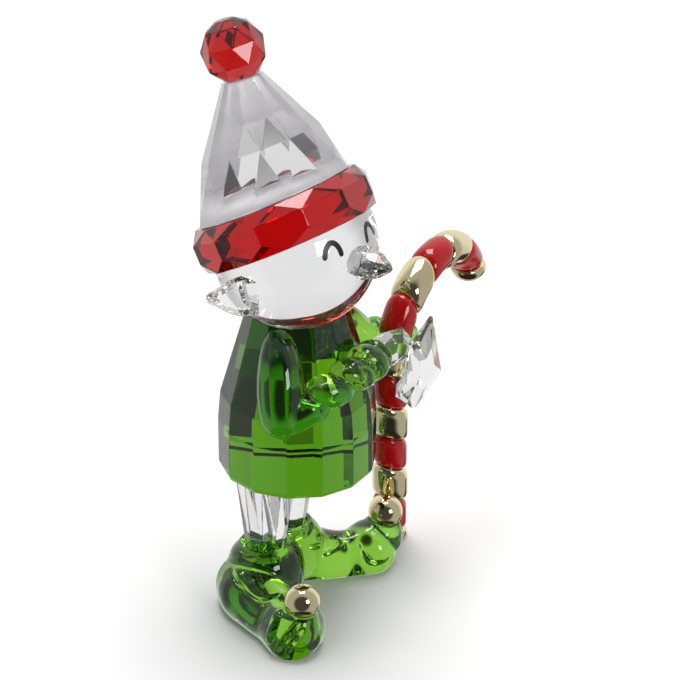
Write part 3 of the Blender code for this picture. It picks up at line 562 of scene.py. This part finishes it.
class ELF_OT_head(Operator):
    """Turn and polish the clear ball of the head"""

    bl_idname = "elf.head"
    bl_label = "Head"

    def execute(self, context):
        sizes = context.scene.elf_sizes
        builder = ball_builder(sizes.head_radius, HEAD_CENTRE)
        cut_flat(builder, HEAD_CENTRE + BRIM_AXIS * BRIM_OFFSET, BRIM_AXIS)
        cut_flat(builder, Vector((0.0, 0.0, NECK_Z + GLUE)), Vector((0.0, 0.0, -1.0)))
        new_piece("head_ball", builder, dense_lead_crystal, ["head"], HEAD_SHARP)
        return {"FINISHED"}


# The eyes are arches painted on the ball: where their middle lies, their half width and their rise.
EYE_AZIMUTH = math.radians(20.5)
EYE_ELEVATION = math.radians(15.6)
EYE_HALF_WIDTH = math.radians(6.6)
EYE_RISE = math.radians(10.8)
EYE_STEPS = 32
EYE_AHEAD = 0.01
EYE_END_STEPS = 2.0
EYE_END_TAPER = 0.8
EYE_ACROSS = (-1.0, -0.33, 0.33, 1.0)
PAINT_THICKNESS = 0.03 * MM
EYE_SHARP = math.radians(50.0)


def eye_direction(side, turn):
    """The direction from the head's centre to the arch of an eye, at a turn along the arch."""
    azimuth = side * EYE_AZIMUTH + EYE_HALF_WIDTH * math.cos(turn)
    elevation = EYE_ELEVATION + EYE_RISE * math.sin(turn)
    return head_point(azimuth, elevation, 1.0) - HEAD_CENTRE


def eye_ribbon(side, stroke, radius):
    """A thin closed ribbon with round ends that lies on the ball along the arch of an eye."""
    rows = []
    for step in range(EYE_STEPS + 1):
        turn = math.pi * step / EYE_STEPS
        middle = eye_direction(side, turn)
        ahead = eye_direction(side, turn + EYE_AHEAD)
        sideways = (ahead - middle).cross(middle).normalized()
        ending = min(step, EYE_STEPS - step) / EYE_END_STEPS
        half = stroke / 2.0 * math.sqrt(1.0 - (1.0 - min(ending, 1.0)) ** 2 * EYE_END_TAPER)
        loop = []
        for across in EYE_ACROSS:
            loop.append((middle * radius + sideways * half * across).normalized())
        rows.append(loop)
    rings = []
    for loop in rows:
        outer = [HEAD_CENTRE + direction * (radius + PAINT_THICKNESS) for direction in loop]
        inner = [HEAD_CENTRE + direction * (radius + PAINT_THICKNESS / 3) for direction in reversed(loop)]
        rings.append(outer + inner)
    return skin_rings(rings)


class ELF_OT_eyes(Operator):
    """Print the two arched eyes on the ball"""

    bl_idname = "elf.eyes"
    bl_label = "Eyes"

    def execute(self, context):
        sizes = context.scene.elf_sizes
        for side, name in ((1, "left_eye"), (-1, "right_eye")):
            ribbon = eye_ribbon(side, sizes.eye_stroke, sizes.head_radius)
            new_piece(name, ribbon, black_screen_print, [], EYE_SHARP)
        return {"FINISHED"}


class ELF_OT_face(Operator):
    """Cut and polish the nose and the ears"""

    bl_idname = "elf.face"
    bl_label = "Nose and ears"

    def execute(self, context):
        for node in ("nose", "left_ear", "right_ear"):
            cut_crystal(node, clear_lead_crystal)
        return {"FINISHED"}


class ELF_OT_hat(Operator):
    """Cut and polish the brim, the cone and the pompom"""

    bl_idname = "elf.hat"
    bl_label = "Hat"

    def execute(self, context):
        cut_crystal("hat_brim", red_lead_crystal)
        cut_crystal("hat_pompom", deep_red_lead_crystal)
        cone = cut_crystal("hat_cone", clear_lead_crystal)
        glue_face(cone, -BRIM_AXIS, ground_crystal)
        return {"FINISHED"}


class ELF_OT_limbs(Operator):
    """Cut and polish the hands and the legs"""

    bl_idname = "elf.limbs"
    bl_label = "Hands and legs"

    def execute(self, context):
        for side in ("left", "right"):
            for kind in ("_hand", "_leg"):
                cut_crystal(side + kind, clear_lead_crystal)
        return {"FINISHED"}


# Stations of the soft forms: x, y, z of the middle and the two radii, in millimetres, about the
# tunic's axis. Those of a right limb are written for the left side and mirrored.
RIGHT_FOOT = [
    (3.2, 9.9, 3.0, 1.4, 1.4),
    (4.6, 8.2, 3.2, 4.2, 4.1),
    (7.7, 4.3, 3.3, 5.5, 5.3),
    (10.7, 0.5, 3.0, 4.7, 4.5),
    (12.7, -3.0, 2.8, 4.4, 4.3),
    (14.8, -6.9, 3.0, 5.1, 4.9),
    (16.0, -9.2, 3.3, 4.1, 3.9),
    (16.8, -11.0, 3.5, 1.5, 1.5),
]
RIGHT_TOE = [
    (15.6, -7.0, 2.6, 3.0, 3.0),
    (15.8, -7.4, 4.2, 3.9, 3.9),
    (15.7, -7.9, 5.8, 3.6, 3.6),
    (15.4, -8.2, 7.2, 2.7, 2.7),
    (15.2, -8.2, 8.6, 1.6, 1.6),
]
RIGHT_LEAF = [
    (16.4, -5.4, 7.9, 0.3, 0.3),
    (17.6, -5.4, 7.0, 1.1, 0.9),
    (18.7, -5.2, 5.4, 1.0, 0.9),
    (19.3, -4.6, 3.8, 0.6, 0.6),
    (19.4, -4.3, 2.7, 0.2, 0.2),
]
LEFT_FOOT = [
    (3.0, 9.6, 3.0, 1.4, 1.4),
    (3.9, 8.0, 3.2, 4.2, 4.1),
    (5.6, 4.4, 3.4, 5.6, 5.4),
    (7.6, -0.6, 2.9, 4.4, 4.2),
    (9.8, -4.2, 2.8, 4.0, 3.9),
    (12.8, -6.7, 3.1, 4.8, 4.6),
    (14.6, -8.2, 3.4, 3.9, 3.7),
    (15.8, -9.2, 3.6, 1.5, 1.5),
]
LEFT_TOE = [
    (13.4, -7.2, 2.8, 3.0, 3.0),
    (14.0, -7.6, 4.4, 3.7, 3.7),
    (14.6, -7.9, 6.0, 3.4, 3.4),
    (15.0, -8.1, 7.4, 2.6, 2.6),
    (15.1, -8.2, 8.6, 1.6, 1.6),
]
RIGHT_CREASES = [
    [
        (8.97, 7.8, 7.3), (11.7, 4.8, 7.0), (13.7, 1.3, 6.6),
        (13.9, -0.8, 6.6), (12.8, -2.4, 6.9), (10.1, -3.0, 6.4),
    ],
    [(18.2, -9.3, 7.4), (19.1, -8.9, 6.3), (19.7, -7.8, 4.9), (19.7, -6.7, 2.9), (19.0, -6.0, 1.2)],
    [(18.3, -10.1, 6.5), (19.1, -9.4, 5.1), (19.3, -8.4, 3.2), (19.1, -7.7, 0.8)],
]
LEFT_CREASES = [
    [
        (0.9, -0.1, 9.2), (4.7, -1.5, 8.1), (7.3, -2.7, 6.7),
        (6.9, -3.8, 6.0), (4.5, -2.8, 5.4), (2.2, -2.2, 6.6),
    ],
    [(1.2, -1.0, 8.1), (3.0, -1.8, 7.3), (5.6, -2.6, 6.6)],
    [(8.8, -6.8, 6.4), (8.2, -8.0, 4.9), (8.8, -9.3, 3.1), (10.8, -10.9, 3.4)],
]
LEAF_ACROSS = Vector((-0.32, 0.92, 0.05))
OUTWARD = Vector((0.8, -0.6, 0.0))
ANKLE = Vector((3.6, 4.0, 0.0)) * MM
SHAFT_PROFILE = [
    (4.8, 1.8),
    (5.9, 3.0),
    (6.15, 4.8),
    (6.1, 6.6),
    (5.6, 8.3),
    (4.8, 9.5),
    (4.3, 10.1),
    (4.15, 10.5),
]
SOCKET_RADIUS = 3.47 * MM
SOCKET_BOTTOM = 8.1 * MM
COLLAR_Z = 10.5 * MM
SHAFT_SIDES = 96
SHAFT_STEPS = 6
SHAFT_WAVE = 0.16
SHAFT_WAVE_HEIGHT = 6.0
SHAFT_WAVE_REACH = 2.2
SOCKET_SIDES = 64
SOFT_SIDES = 64
SOFT_RINGS = 96
LEAF_SIDES = 24
LEAF_RINGS = 32
CAST_PASSES = 6
CREASE_WIDTH = 0.32 * MM
CREASE_REACH = 3.0
CREASE_SAMPLES = 16
CREASE_FADE = 5.0
BOOT_SHARP = math.radians(35.0)
SOFT_SHARP = math.radians(50.0)
BALL_SHARP = math.radians(60.0)


def shaft_shell():
    """The boot's soft shaft: a squat barrel that narrows to its collar."""
    radii = [radius for radius, height in SHAFT_PROFILE]
    heights = [height for radius, height in SHAFT_PROFILE]
    steps = SHAFT_STEPS * (len(SHAFT_PROFILE) - 1)
    loops = []
    for step in range(steps + 1):
        position = (len(SHAFT_PROFILE) - 1) * step / steps
        radius = spline_point(radii, position)
        height = spline_point(heights, position)
        wave = SHAFT_WAVE * ridge(height - SHAFT_WAVE_HEIGHT, SHAFT_WAVE_REACH)
        loop = []
        for index in range(SHAFT_SIDES):
            angle = 2.0 * math.pi * index / SHAFT_SIDES
            reach = (radius + wave * math.cos(3.0 * angle + 1.0)) * MM
            loop.append(ANKLE + Vector((reach * math.cos(angle), reach * math.sin(angle), height * MM)))
        loops.append(loop)
    return skin_rings(loops)


def press_creases(builder, creases, depth, width):
    """Push the skin in along each crease, deepest on its line and fading to its ends."""
    samples = []
    for crease in creases:
        points = [Vector(point) * MM for point in crease]
        span = len(points) - 1
        count = CREASE_SAMPLES * span
        for step in range(count + 1):
            share = step / count
            strength = min(1.0, CREASE_FADE * share, CREASE_FADE * (1.0 - share))
            samples.append((spline_point(points, span * share), strength))
    tree = KDTree(len(samples))
    for index, (point, strength) in enumerate(samples):
        tree.insert(point, index)
    tree.balance()
    builder.normal_update()
    moves = []
    for vertex in builder.verts:
        point, index, distance = tree.find(vertex.co)
        if distance < CREASE_REACH * width:
            moves.append((vertex, vertex.normal * (-depth * samples[index][1] * ridge(distance, width))))
    for vertex, move in moves:
        vertex.co += move


class ELF_OT_boots(Operator):
    """Cast the two boots with curled toes, creases and seats"""

    bl_idname = "elf.boots"
    bl_label = "Boots"

    def execute(self, context):
        sizes = context.scene.elf_sizes
        for name, side, foot, toe, creases in (
            ("left_boot", 1, LEFT_FOOT, LEFT_TOE, LEFT_CREASES),
            ("right_boot", -1, RIGHT_FOOT, RIGHT_TOE, RIGHT_CREASES),
        ):
            shells = [
                soft_tube(foot, SOFT_SIDES, SOFT_RINGS, OUTWARD, no_folds),
                soft_tube(toe, SOFT_SIDES, SOFT_RINGS // 2, OUTWARD, no_folds),
                shaft_shell(),
            ]
            if side < 0:
                shells.append(soft_tube(RIGHT_LEAF, LEAF_SIDES, LEAF_RINGS, LEAF_ACROSS, no_folds))
            boot = fuse_shells(shells, sizes.voxel, CAST_PASSES)
            press_creases(boot, creases, sizes.crease_depth, CREASE_WIDTH)
            cut_flat(boot, Vector((0.0, 0.0, 0.0)), Vector((0.0, 0.0, -1.0)))
            cut_flat(boot, MIDDLE, Vector((-1.0, 0.0, 0.0)))
            cut_flat(boot, Vector((0.0, 0.0, COLLAR_Z)), Vector((0.0, 0.0, 1.0)))
            socket = skin_rings([
                circle(SOCKET_SIDES, SOCKET_RADIUS, SOCKET_BOTTOM),
                circle(SOCKET_SIDES, SOCKET_RADIUS, COLLAR_Z + MM),
            ])
            bmesh.ops.translate(socket, verts=socket.verts, vec=ANKLE)
            boot = subtract(boot, socket)
            flip_side(boot, side)
            bmesh.ops.translate(boot, verts=boot.verts, vec=STAND_SHIFT)
            boot = subtract(boot, ball_builder(sizes.toe_ball_radius + SEAT, toe_ball_centre(name[:-5])))
            new_piece(name + "_cast", boot, green_lead_crystal, [name], BOOT_SHARP)
        return {"FINISHED"}


def toe_ball_centre(side):
    """The middle of a toe ball, from its CAD node."""
    low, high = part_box(side + "_toe_ball")
    return (low + high) / 2.0


class ELF_OT_toe_balls(Operator):
    """Plate the two toe balls"""

    bl_idname = "elf.toe_balls"
    bl_label = "Toe balls"

    def execute(self, context):
        sizes = context.scene.elf_sizes
        for side in ("left", "right"):
            builder = ball_builder(sizes.toe_ball_radius, toe_ball_centre(side))
            new_piece(side + "_toe_ball_plated", builder, pale_gold_plating,
                      [side + "_toe_ball"], BALL_SHARP)
        return {"FINISHED"}


RIGHT_UPPER_ARM = [
    (8.6, -0.8, 52.0, 1.3, 1.3),
    (9.6, -1.6, 50.6, 2.5, 2.5),
    (11.2, -2.7, 47.6, 3.4, 3.4),
    (12.5, -3.5, 43.6, 3.7, 3.7),
    (13.1, -4.0, 40.2, 3.5, 3.5),
    (13.2, -4.2, 37.9, 2.5, 2.5),
    (13.2, -4.2, 36.9, 1.2, 1.2),
]
RIGHT_FOREARM = [
    (13.8, -3.8, 39.2, 1.3, 1.3),
    (12.7, -5.0, 40.0, 2.7, 2.7),
    (10.7, -7.4, 41.8, 3.1, 3.1),
    (7.8, -9.7, 43.6, 3.1, 3.1),
    (4.0, -11.5, 44.8, 3.1, 3.1),
    (0.4, -12.2, 45.1, 3.3, 3.3),
    (-2.6, -12.1, 44.7, 3.0, 3.0),
    (-4.0, -11.9, 44.4, 1.5, 1.5),
]
LEFT_UPPER_ARM = [
    (8.6, -0.8, 48.9, 1.3, 1.3),
    (9.8, -1.1, 47.3, 2.4, 2.4),
    (12.4, -1.6, 43.9, 3.1, 3.1),
    (15.4, -2.2, 40.9, 3.1, 3.1),
    (17.6, -2.8, 39.0, 2.6, 2.6),
    (18.6, -3.1, 38.2, 1.3, 1.3),
]
LEFT_FOREARM = [
    (17.2, -1.4, 39.0, 1.4, 1.4),
    (18.0, -2.6, 38.9, 2.6, 2.6),
    (20.4, -5.2, 38.4, 2.9, 2.9),
    (22.2, -8.2, 37.6, 2.8, 2.8),
    (22.8, -9.8, 37.2, 1.6, 1.6),
]
SLEEVE_FIRST_CREASE = 0.34
SLEEVE_CREASE_PITCH = 0.155
SLEEVE_CREASES = 4
SLEEVE_CREASE_DEPTH = 0.30
SLEEVE_SLANT = 0.035
SLEEVE_ACROSS = Vector((0.6, 0.8, 0.0))
GRIP_REACH = range(25, 60)


def sleeve_folds(position, angle):
    """Bunched cloth: full rounds with sharp creases between them, slanting round the sleeve."""
    place = (position - SLEEVE_FIRST_CREASE + SLEEVE_SLANT * math.cos(angle)) / SLEEVE_CREASE_PITCH
    place = min(max(place, -0.5), SLEEVE_CREASES - 0.5)
    return -SLEEVE_CREASE_DEPTH * (1.0 - abs(math.sin(math.pi * place))) ** 1.5


def seat_on_facets(builder, node, gap):
    """Press the part of a soft form that would enter a convex cut crystal flat on to its facets."""
    planes = []
    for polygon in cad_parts[node].data.polygons:
        planes.append((polygon.normal.copy(), polygon.center.copy()))
    for vertex in builder.verts:
        depths = [(vertex.co - centre).dot(normal) for normal, centre in planes]
        depth, facet = max((depth, index) for index, depth in enumerate(depths))
        if depth < gap:
            vertex.co += planes[facet][0] * (gap - depth)


def seat_round_cane(builder, radius):
    """Press the part of a soft form that would enter the cane back to the cane's grip."""
    samples = [cane_point(distance * MM) for distance in GRIP_REACH]
    for vertex in builder.verts:
        point, tangent = min(samples, key=lambda item: (item[0] - vertex.co).length_squared)
        reach = vertex.co - point
        reach -= tangent * reach.dot(tangent)
        if 0.0 < reach.length < radius:
            vertex.co += reach.normalized() * (radius - reach.length)


class ELF_OT_arms(Operator):
    """Cast the two bunched sleeves"""

    bl_idname = "elf.arms"
    bl_label = "Arms"

    def execute(self, context):
        sizes = context.scene.elf_sizes
        for name, side, upper, lower in (
            ("left_arm", 1, LEFT_UPPER_ARM, LEFT_FOREARM),
            ("right_arm", -1, RIGHT_UPPER_ARM, RIGHT_FOREARM),
        ):
            shells = [
                soft_tube(upper, SOFT_SIDES, SOFT_RINGS, SLEEVE_ACROSS, no_folds),
                soft_tube(lower, SOFT_SIDES, 2 * SOFT_RINGS, SLEEVE_ACROSS, sleeve_folds),
            ]
            arm = flip_side(fuse_shells(shells, sizes.voxel, CAST_PASSES // 2), side)
            bmesh.ops.translate(arm, verts=arm.verts, vec=STAND_SHIFT)
            seat_on_facets(arm, "tunic", SEAT)
            seat_round_cane(arm, sizes.cane_gold_radius + SEAT)
            new_piece(name + "_cast", arm, green_lead_crystal, [name], SOFT_SHARP)
        return {"FINISHED"}


CANE_FOOT = STAND_SHIFT + Vector((22.0, -5.75, 0.0)) * MM
CANE_AXIS = Vector((-0.13, -0.06, 0.99)).normalized()
HOOK_SIDE = Vector((0.99, -0.08, 0.12)).normalized()
CANE_START = 0.6 * MM
CANE_FOOT_LENGTH = 2.3 * MM
CANE_END_LENGTH = 3.3 * MM
CANE_PITCH = 6.2 * MM
CANE_BANDS = 6
CANE_SEGMENTS = 2 * CANE_BANDS + 1
CANE_NECK_RADIUS = 1.7 * MM
CANE_STRAIGHT = 34.8 * MM
HOOK_RADIUS = 13.0 * MM
CANE_SLANT = math.radians(27.0)
BARREL_STEPS = 24
NECK_STEPS = 8
SHOULDER_DROP = 0.22
DOME_SHARE = 0.35
DOME_CLOSING = 0.9


def hook_side():
    """The direction, square to the shaft, in which the hook bends over."""
    return (HOOK_SIDE - CANE_AXIS * HOOK_SIDE.dot(CANE_AXIS)).normalized()


def cane_point(distance):
    """The cane's centre line: straight up the shaft and then round the hook, with its tangent."""
    if distance <= CANE_STRAIGHT:
        return CANE_FOOT + CANE_AXIS * distance, CANE_AXIS.copy()
    angle = (distance - CANE_STRAIGHT) / HOOK_RADIUS
    side = hook_side()
    centre = CANE_FOOT + CANE_AXIS * CANE_STRAIGHT + side * HOOK_RADIUS
    point = centre + (CANE_AXIS * math.sin(angle) - side * math.cos(angle)) * HOOK_RADIUS
    return point, CANE_AXIS * math.cos(angle) + side * math.sin(angle)


def cane_ring(distance, radius, slanted, sides):
    """A ring round the cane whose outer side runs ahead, so that the bands lie on a slant."""
    binormal = CANE_AXIS.cross(hook_side())
    loop = []
    for index in range(sides):
        angle = 2.0 * math.pi * index / sides
        shift = radius * math.cos(angle) * math.tan(CANE_SLANT) * slanted
        point, tangent = cane_point(distance + shift)
        outward = tangent.cross(binormal)
        loop.append(point + (outward * math.cos(angle) + binormal * math.sin(angle)) * radius)
    return loop


def barrel_radius(share, widest):
    """Radius of a barrel segment at a share of its length, with rounded shoulders."""
    edge = abs(2.0 * share - 1.0)
    return widest * (1.0 - SHOULDER_DROP * edge ** 6)


def dome_radius(share, widest):
    """Radius of the last segment at a share of its length: a shoulder, then a domed end."""
    if share < DOME_SHARE:
        return barrel_radius(share / DOME_SHARE * 0.5, widest)
    climb = (share - DOME_SHARE) / (1.0 - DOME_SHARE)
    return widest * math.sqrt(1.0 - DOME_CLOSING * climb ** 2)


def segment_start(segment):
    """The distance along the cane at which a segment begins; the one at the foot is cut short."""
    if segment == 0:
        return CANE_START
    if segment == CANE_SEGMENTS:
        return segment_start(segment - 1) + CANE_END_LENGTH
    return CANE_FOOT_LENGTH + (segment - 1) * CANE_PITCH


class ELF_OT_cane(Operator):
    """Cast and plate the candy cane"""

    bl_idname = "elf.cane"
    bl_label = "Candy cane"

    def execute(self, context):
        sizes = context.scene.elf_sizes
        loops = []
        last = CANE_SEGMENTS - 1
        for segment in range(0, CANE_SEGMENTS, 2):
            start = segment_start(segment)
            end = segment_start(segment + 1)
            for step in range(BARREL_STEPS + 1):
                share = step / BARREL_STEPS
                slanted = 1.0
                radius = barrel_radius(share, sizes.cane_gold_radius)
                if segment == 0:
                    slanted = share
                if segment == last:
                    slanted = 1.0 - share
                    radius = dome_radius(share, sizes.cane_gold_radius)
                loops.append(cane_ring(start + share * (end - start), radius, slanted, sizes.round_sides))
            if segment < last:
                for step in range(NECK_STEPS + 1):
                    along = end + step / NECK_STEPS * CANE_PITCH
                    loops.append(cane_ring(along, CANE_NECK_RADIUS, 1.0, sizes.round_sides))
        new_piece("cane_casting", skin_rings(loops), pale_gold_plating, ["cane_core"],
                  SOFT_SHARP)
        return {"FINISHED"}


class ELF_OT_bands(Operator):
    """Fill the cane's necks with red enamel"""

    bl_idname = "elf.bands"
    bl_label = "Enamel bands"

    def execute(self, context):
        sizes = context.scene.elf_sizes
        sides = sizes.round_sides
        for number in range(1, CANE_BANDS + 1):
            start = segment_start(2 * number - 1) + GLUE
            length = CANE_PITCH - 2.0 * GLUE
            loops = []
            for step in range(BARREL_STEPS + 1):
                share = step / BARREL_STEPS
                radius = barrel_radius(share, sizes.cane_red_radius)
                loops.append(cane_ring(start + share * length, radius, 1.0, sides))
            for step in range(NECK_STEPS, -1, -1):
                along = start + step / NECK_STEPS * length
                loops.append(cane_ring(along, CANE_NECK_RADIUS + GLUE, 1.0, sides))
            builder = bmesh.new()
            rows = [[builder.verts.new(point) for point in loop] for loop in loops]
            rows.append(rows[0])
            for lower, upper in zip(rows, rows[1:]):
                for index in range(sides):
                    following = (index + 1) % sides
                    builder.faces.new((lower[index], lower[following], upper[following], upper[index]))
            node = "cane_band_" + str(number)
            new_piece(node + "_enamel", builder, red_cold_enamel, [node], SOFT_SHARP)
        return {"FINISHED"}


# The camera stands in front of the elf's right shoulder and looks down on it.
VIEW_AZIMUTH = -63.9
VIEW_ELEVATION = 28.9
VIEW_DISTANCE = 636.9 * MM
VIEW_TARGET = STAND_SHIFT + Vector((15.21, 0.0, 38.58)) * MM
LENS_MM = 211.8
SENSOR_MM = 36.0
FLOOR_RADIUS = 4.0
FLOOR_SIDES = 96
# The light tent: its brightness, and its patches, each with azimuth and elevation, inner and outer
# angle, and brightness. They are a bright back wall, a dark front, a dark base and two black cards.
# The base and the cards lie below the floor's level, where only the glass and the gold see them.
# They were placed for the camera below, and the figurine looks darker from its left side.
TENT_LEVEL = 0.6
TENT_PATCHES = (
    (116.0, 0.0, 45.0, 75.0, 1.15),
    (-64.0, 12.0, 40.0, 62.0, 0.08),
    (-64.0, -75.0, 30.0, 44.0, 0.03),
    (68.0, -42.0, 7.0, 14.0, 0.05),
    (111.0, -42.0, 5.0, 13.0, 0.08),
)

# Softboxes: azimuth and elevation as seen from the figurine, distance and edge length in metres,
# and power in watts. Azimuth 0 is in front of the elf and +90 is at its left.
SOFTBOXES = (
    ("overhead_softbox", 116.0, 80.0, 0.9, 0.5, 6.3),
    ("key_softbox", -25.0, 20.0, 0.8, 0.25, 1.5),
)


def heading(azimuth, elevation):
    """The direction of an azimuth and an elevation in degrees."""
    turn = math.radians(azimuth)
    rise = math.radians(elevation)
    return Vector((math.sin(turn) * math.cos(rise), -math.cos(turn) * math.cos(rise), math.sin(rise)))


def light_tent():
    """A white tent with soft-edged dark and dim patches, which draw the facets of the crystals."""
    world = bpy.data.worlds.new("light_tent")
    world.use_nodes = True
    tree = world.node_tree
    tree.nodes.clear()
    place = add_node(tree, "ShaderNodeTexCoord").outputs["Generated"]
    level = add_node(tree, "ShaderNodeValue").outputs["Value"]
    level.default_value = TENT_LEVEL
    for azimuth, elevation, inner, outer, brightness in TENT_PATCHES:
        aim = add_node(tree, "ShaderNodeVectorMath", {"operation": "DOT_PRODUCT"})
        aim.inputs[1].default_value = heading(azimuth, elevation)
        tree.links.new(place, aim.inputs[0])
        fade = add_node(tree, "ShaderNodeMapRange", {
            "interpolation_type": "SMOOTHSTEP",
            "From Min": math.cos(math.radians(outer)),
            "From Max": math.cos(math.radians(inner)),
        }, {"Value": aim.outputs["Value"]})
        mix = add_node(tree, "ShaderNodeMix", {"B": brightness}, {
            "Factor": fade.outputs["Result"], "A": level,
        })
        level = mix.outputs["Result"]
    background = add_node(tree, "ShaderNodeBackground", {}, {"Strength": level})
    add_node(tree, "ShaderNodeOutputWorld", {}, {"Surface": background.outputs["Background"]})
    return world


def add_camera(context):
    """The photograph's view."""
    camera = bpy.data.cameras.new("camera")
    camera.sensor_width = SENSOR_MM
    camera.lens = LENS_MM
    camera.clip_start = 0.01
    camera.clip_end = 20.0
    holder = bpy.data.objects.new("camera", camera)
    backward = heading(VIEW_AZIMUTH, VIEW_ELEVATION)
    holder.location = VIEW_TARGET + backward * VIEW_DISTANCE
    holder.rotation_euler = backward.to_track_quat("Z", "Y").to_euler()
    context.scene.collection.objects.link(holder)
    context.scene.camera = holder


def add_softbox(context, name, direction, distance, size, power):
    """A square area light that looks at the figurine."""
    light = bpy.data.lights.new(name, "AREA")
    light.size = size
    light.energy = power
    holder = bpy.data.objects.new(name, light)
    holder.location = VIEW_TARGET + direction * distance
    holder.rotation_euler = direction.to_track_quat("Z", "Y").to_euler()
    context.scene.collection.objects.link(holder)


def white_paper_sweep():
    """Matt white background paper: even, with no sheen."""
    material, tree, output = new_material("white_paper_sweep")
    shader = add_node(tree, "ShaderNodeBsdfPrincipled", {
        "Base Color": (*bpy.context.scene.elf_colours.floor, 1.0), "Roughness": 0.8,
    })
    tree.links.new(shader.outputs["BSDF"], output.inputs["Surface"])
    return material


class ELF_OT_stage(Operator):
    """Add the floor, the lights, the world and the camera"""

    bl_idname = "elf.stage"
    bl_label = "Studio"

    def execute(self, context):
        builder = bmesh.new()
        bmesh.ops.create_circle(builder, cap_ends=True, segments=FLOOR_SIDES, radius=FLOOR_RADIUS)
        mesh = bpy.data.meshes.new("studio_floor")
        builder.to_mesh(mesh)
        builder.free()
        floor = bpy.data.objects.new("studio_floor", mesh)
        context.scene.collection.objects.link(floor)
        mesh.materials.append(finish(white_paper_sweep))
        # Refracted and mirrored rays pass the floor, so the glass and the gold see the tent below it.
        floor.visible_transmission = False
        floor.visible_glossy = False

        context.scene.world = light_tent()
        for name, azimuth, elevation, distance, size, power in SOFTBOXES:
            add_softbox(context, name, heading(azimuth, elevation), distance, size, power)
        add_camera(context)
        context.scene.view_settings.view_transform = "Standard"
        context.scene.cycles.max_bounces = 24
        context.scene.cycles.transmission_bounces = 24
        context.scene.cycles.glossy_bounces = 12
        return {"FINISHED"}


OPERATORS = (
    ELF_OT_tunic, ELF_OT_head, ELF_OT_eyes, ELF_OT_face, ELF_OT_hat, ELF_OT_arms, ELF_OT_limbs, ELF_OT_boots,
    ELF_OT_toe_balls, ELF_OT_cane, ELF_OT_bands, ELF_OT_stage,
)


class ELF_PT_panel(Panel):
    """Sidebar panel that lists the steps"""

    bl_label = "Crystal Elf"
    bl_idname = "ELF_PT_panel"
    bl_space_type = "VIEW_3D"
    bl_region_type = "UI"
    bl_category = "Crystal Elf"

    def draw(self, context):
        for operator in OPERATORS:
            self.layout.operator(operator.bl_idname)


CLASSES = (ElfSizes, ElfColours) + OPERATORS + (ELF_PT_panel,)


def register():
    """Register the classes and hang the properties on the scene."""
    for item in CLASSES:
        bpy.utils.register_class(item)
    bpy.types.Scene.elf_sizes = PointerProperty(type=ElfSizes)
    bpy.types.Scene.elf_colours = PointerProperty(type=ElfColours)


def unregister():
    """Take the properties and the classes away again."""
    del bpy.types.Scene.elf_colours
    del bpy.types.Scene.elf_sizes
    for item in reversed(CLASSES):
        bpy.utils.unregister_class(item)


def main():
    """Dress the figurine."""
    register()
    for operator in OPERATORS:
        group, name = operator.bl_idname.split(".")
        getattr(getattr(bpy.ops, group), name)()
    bpy.context.view_layer.update()


if __name__ == "__main__":
    main()
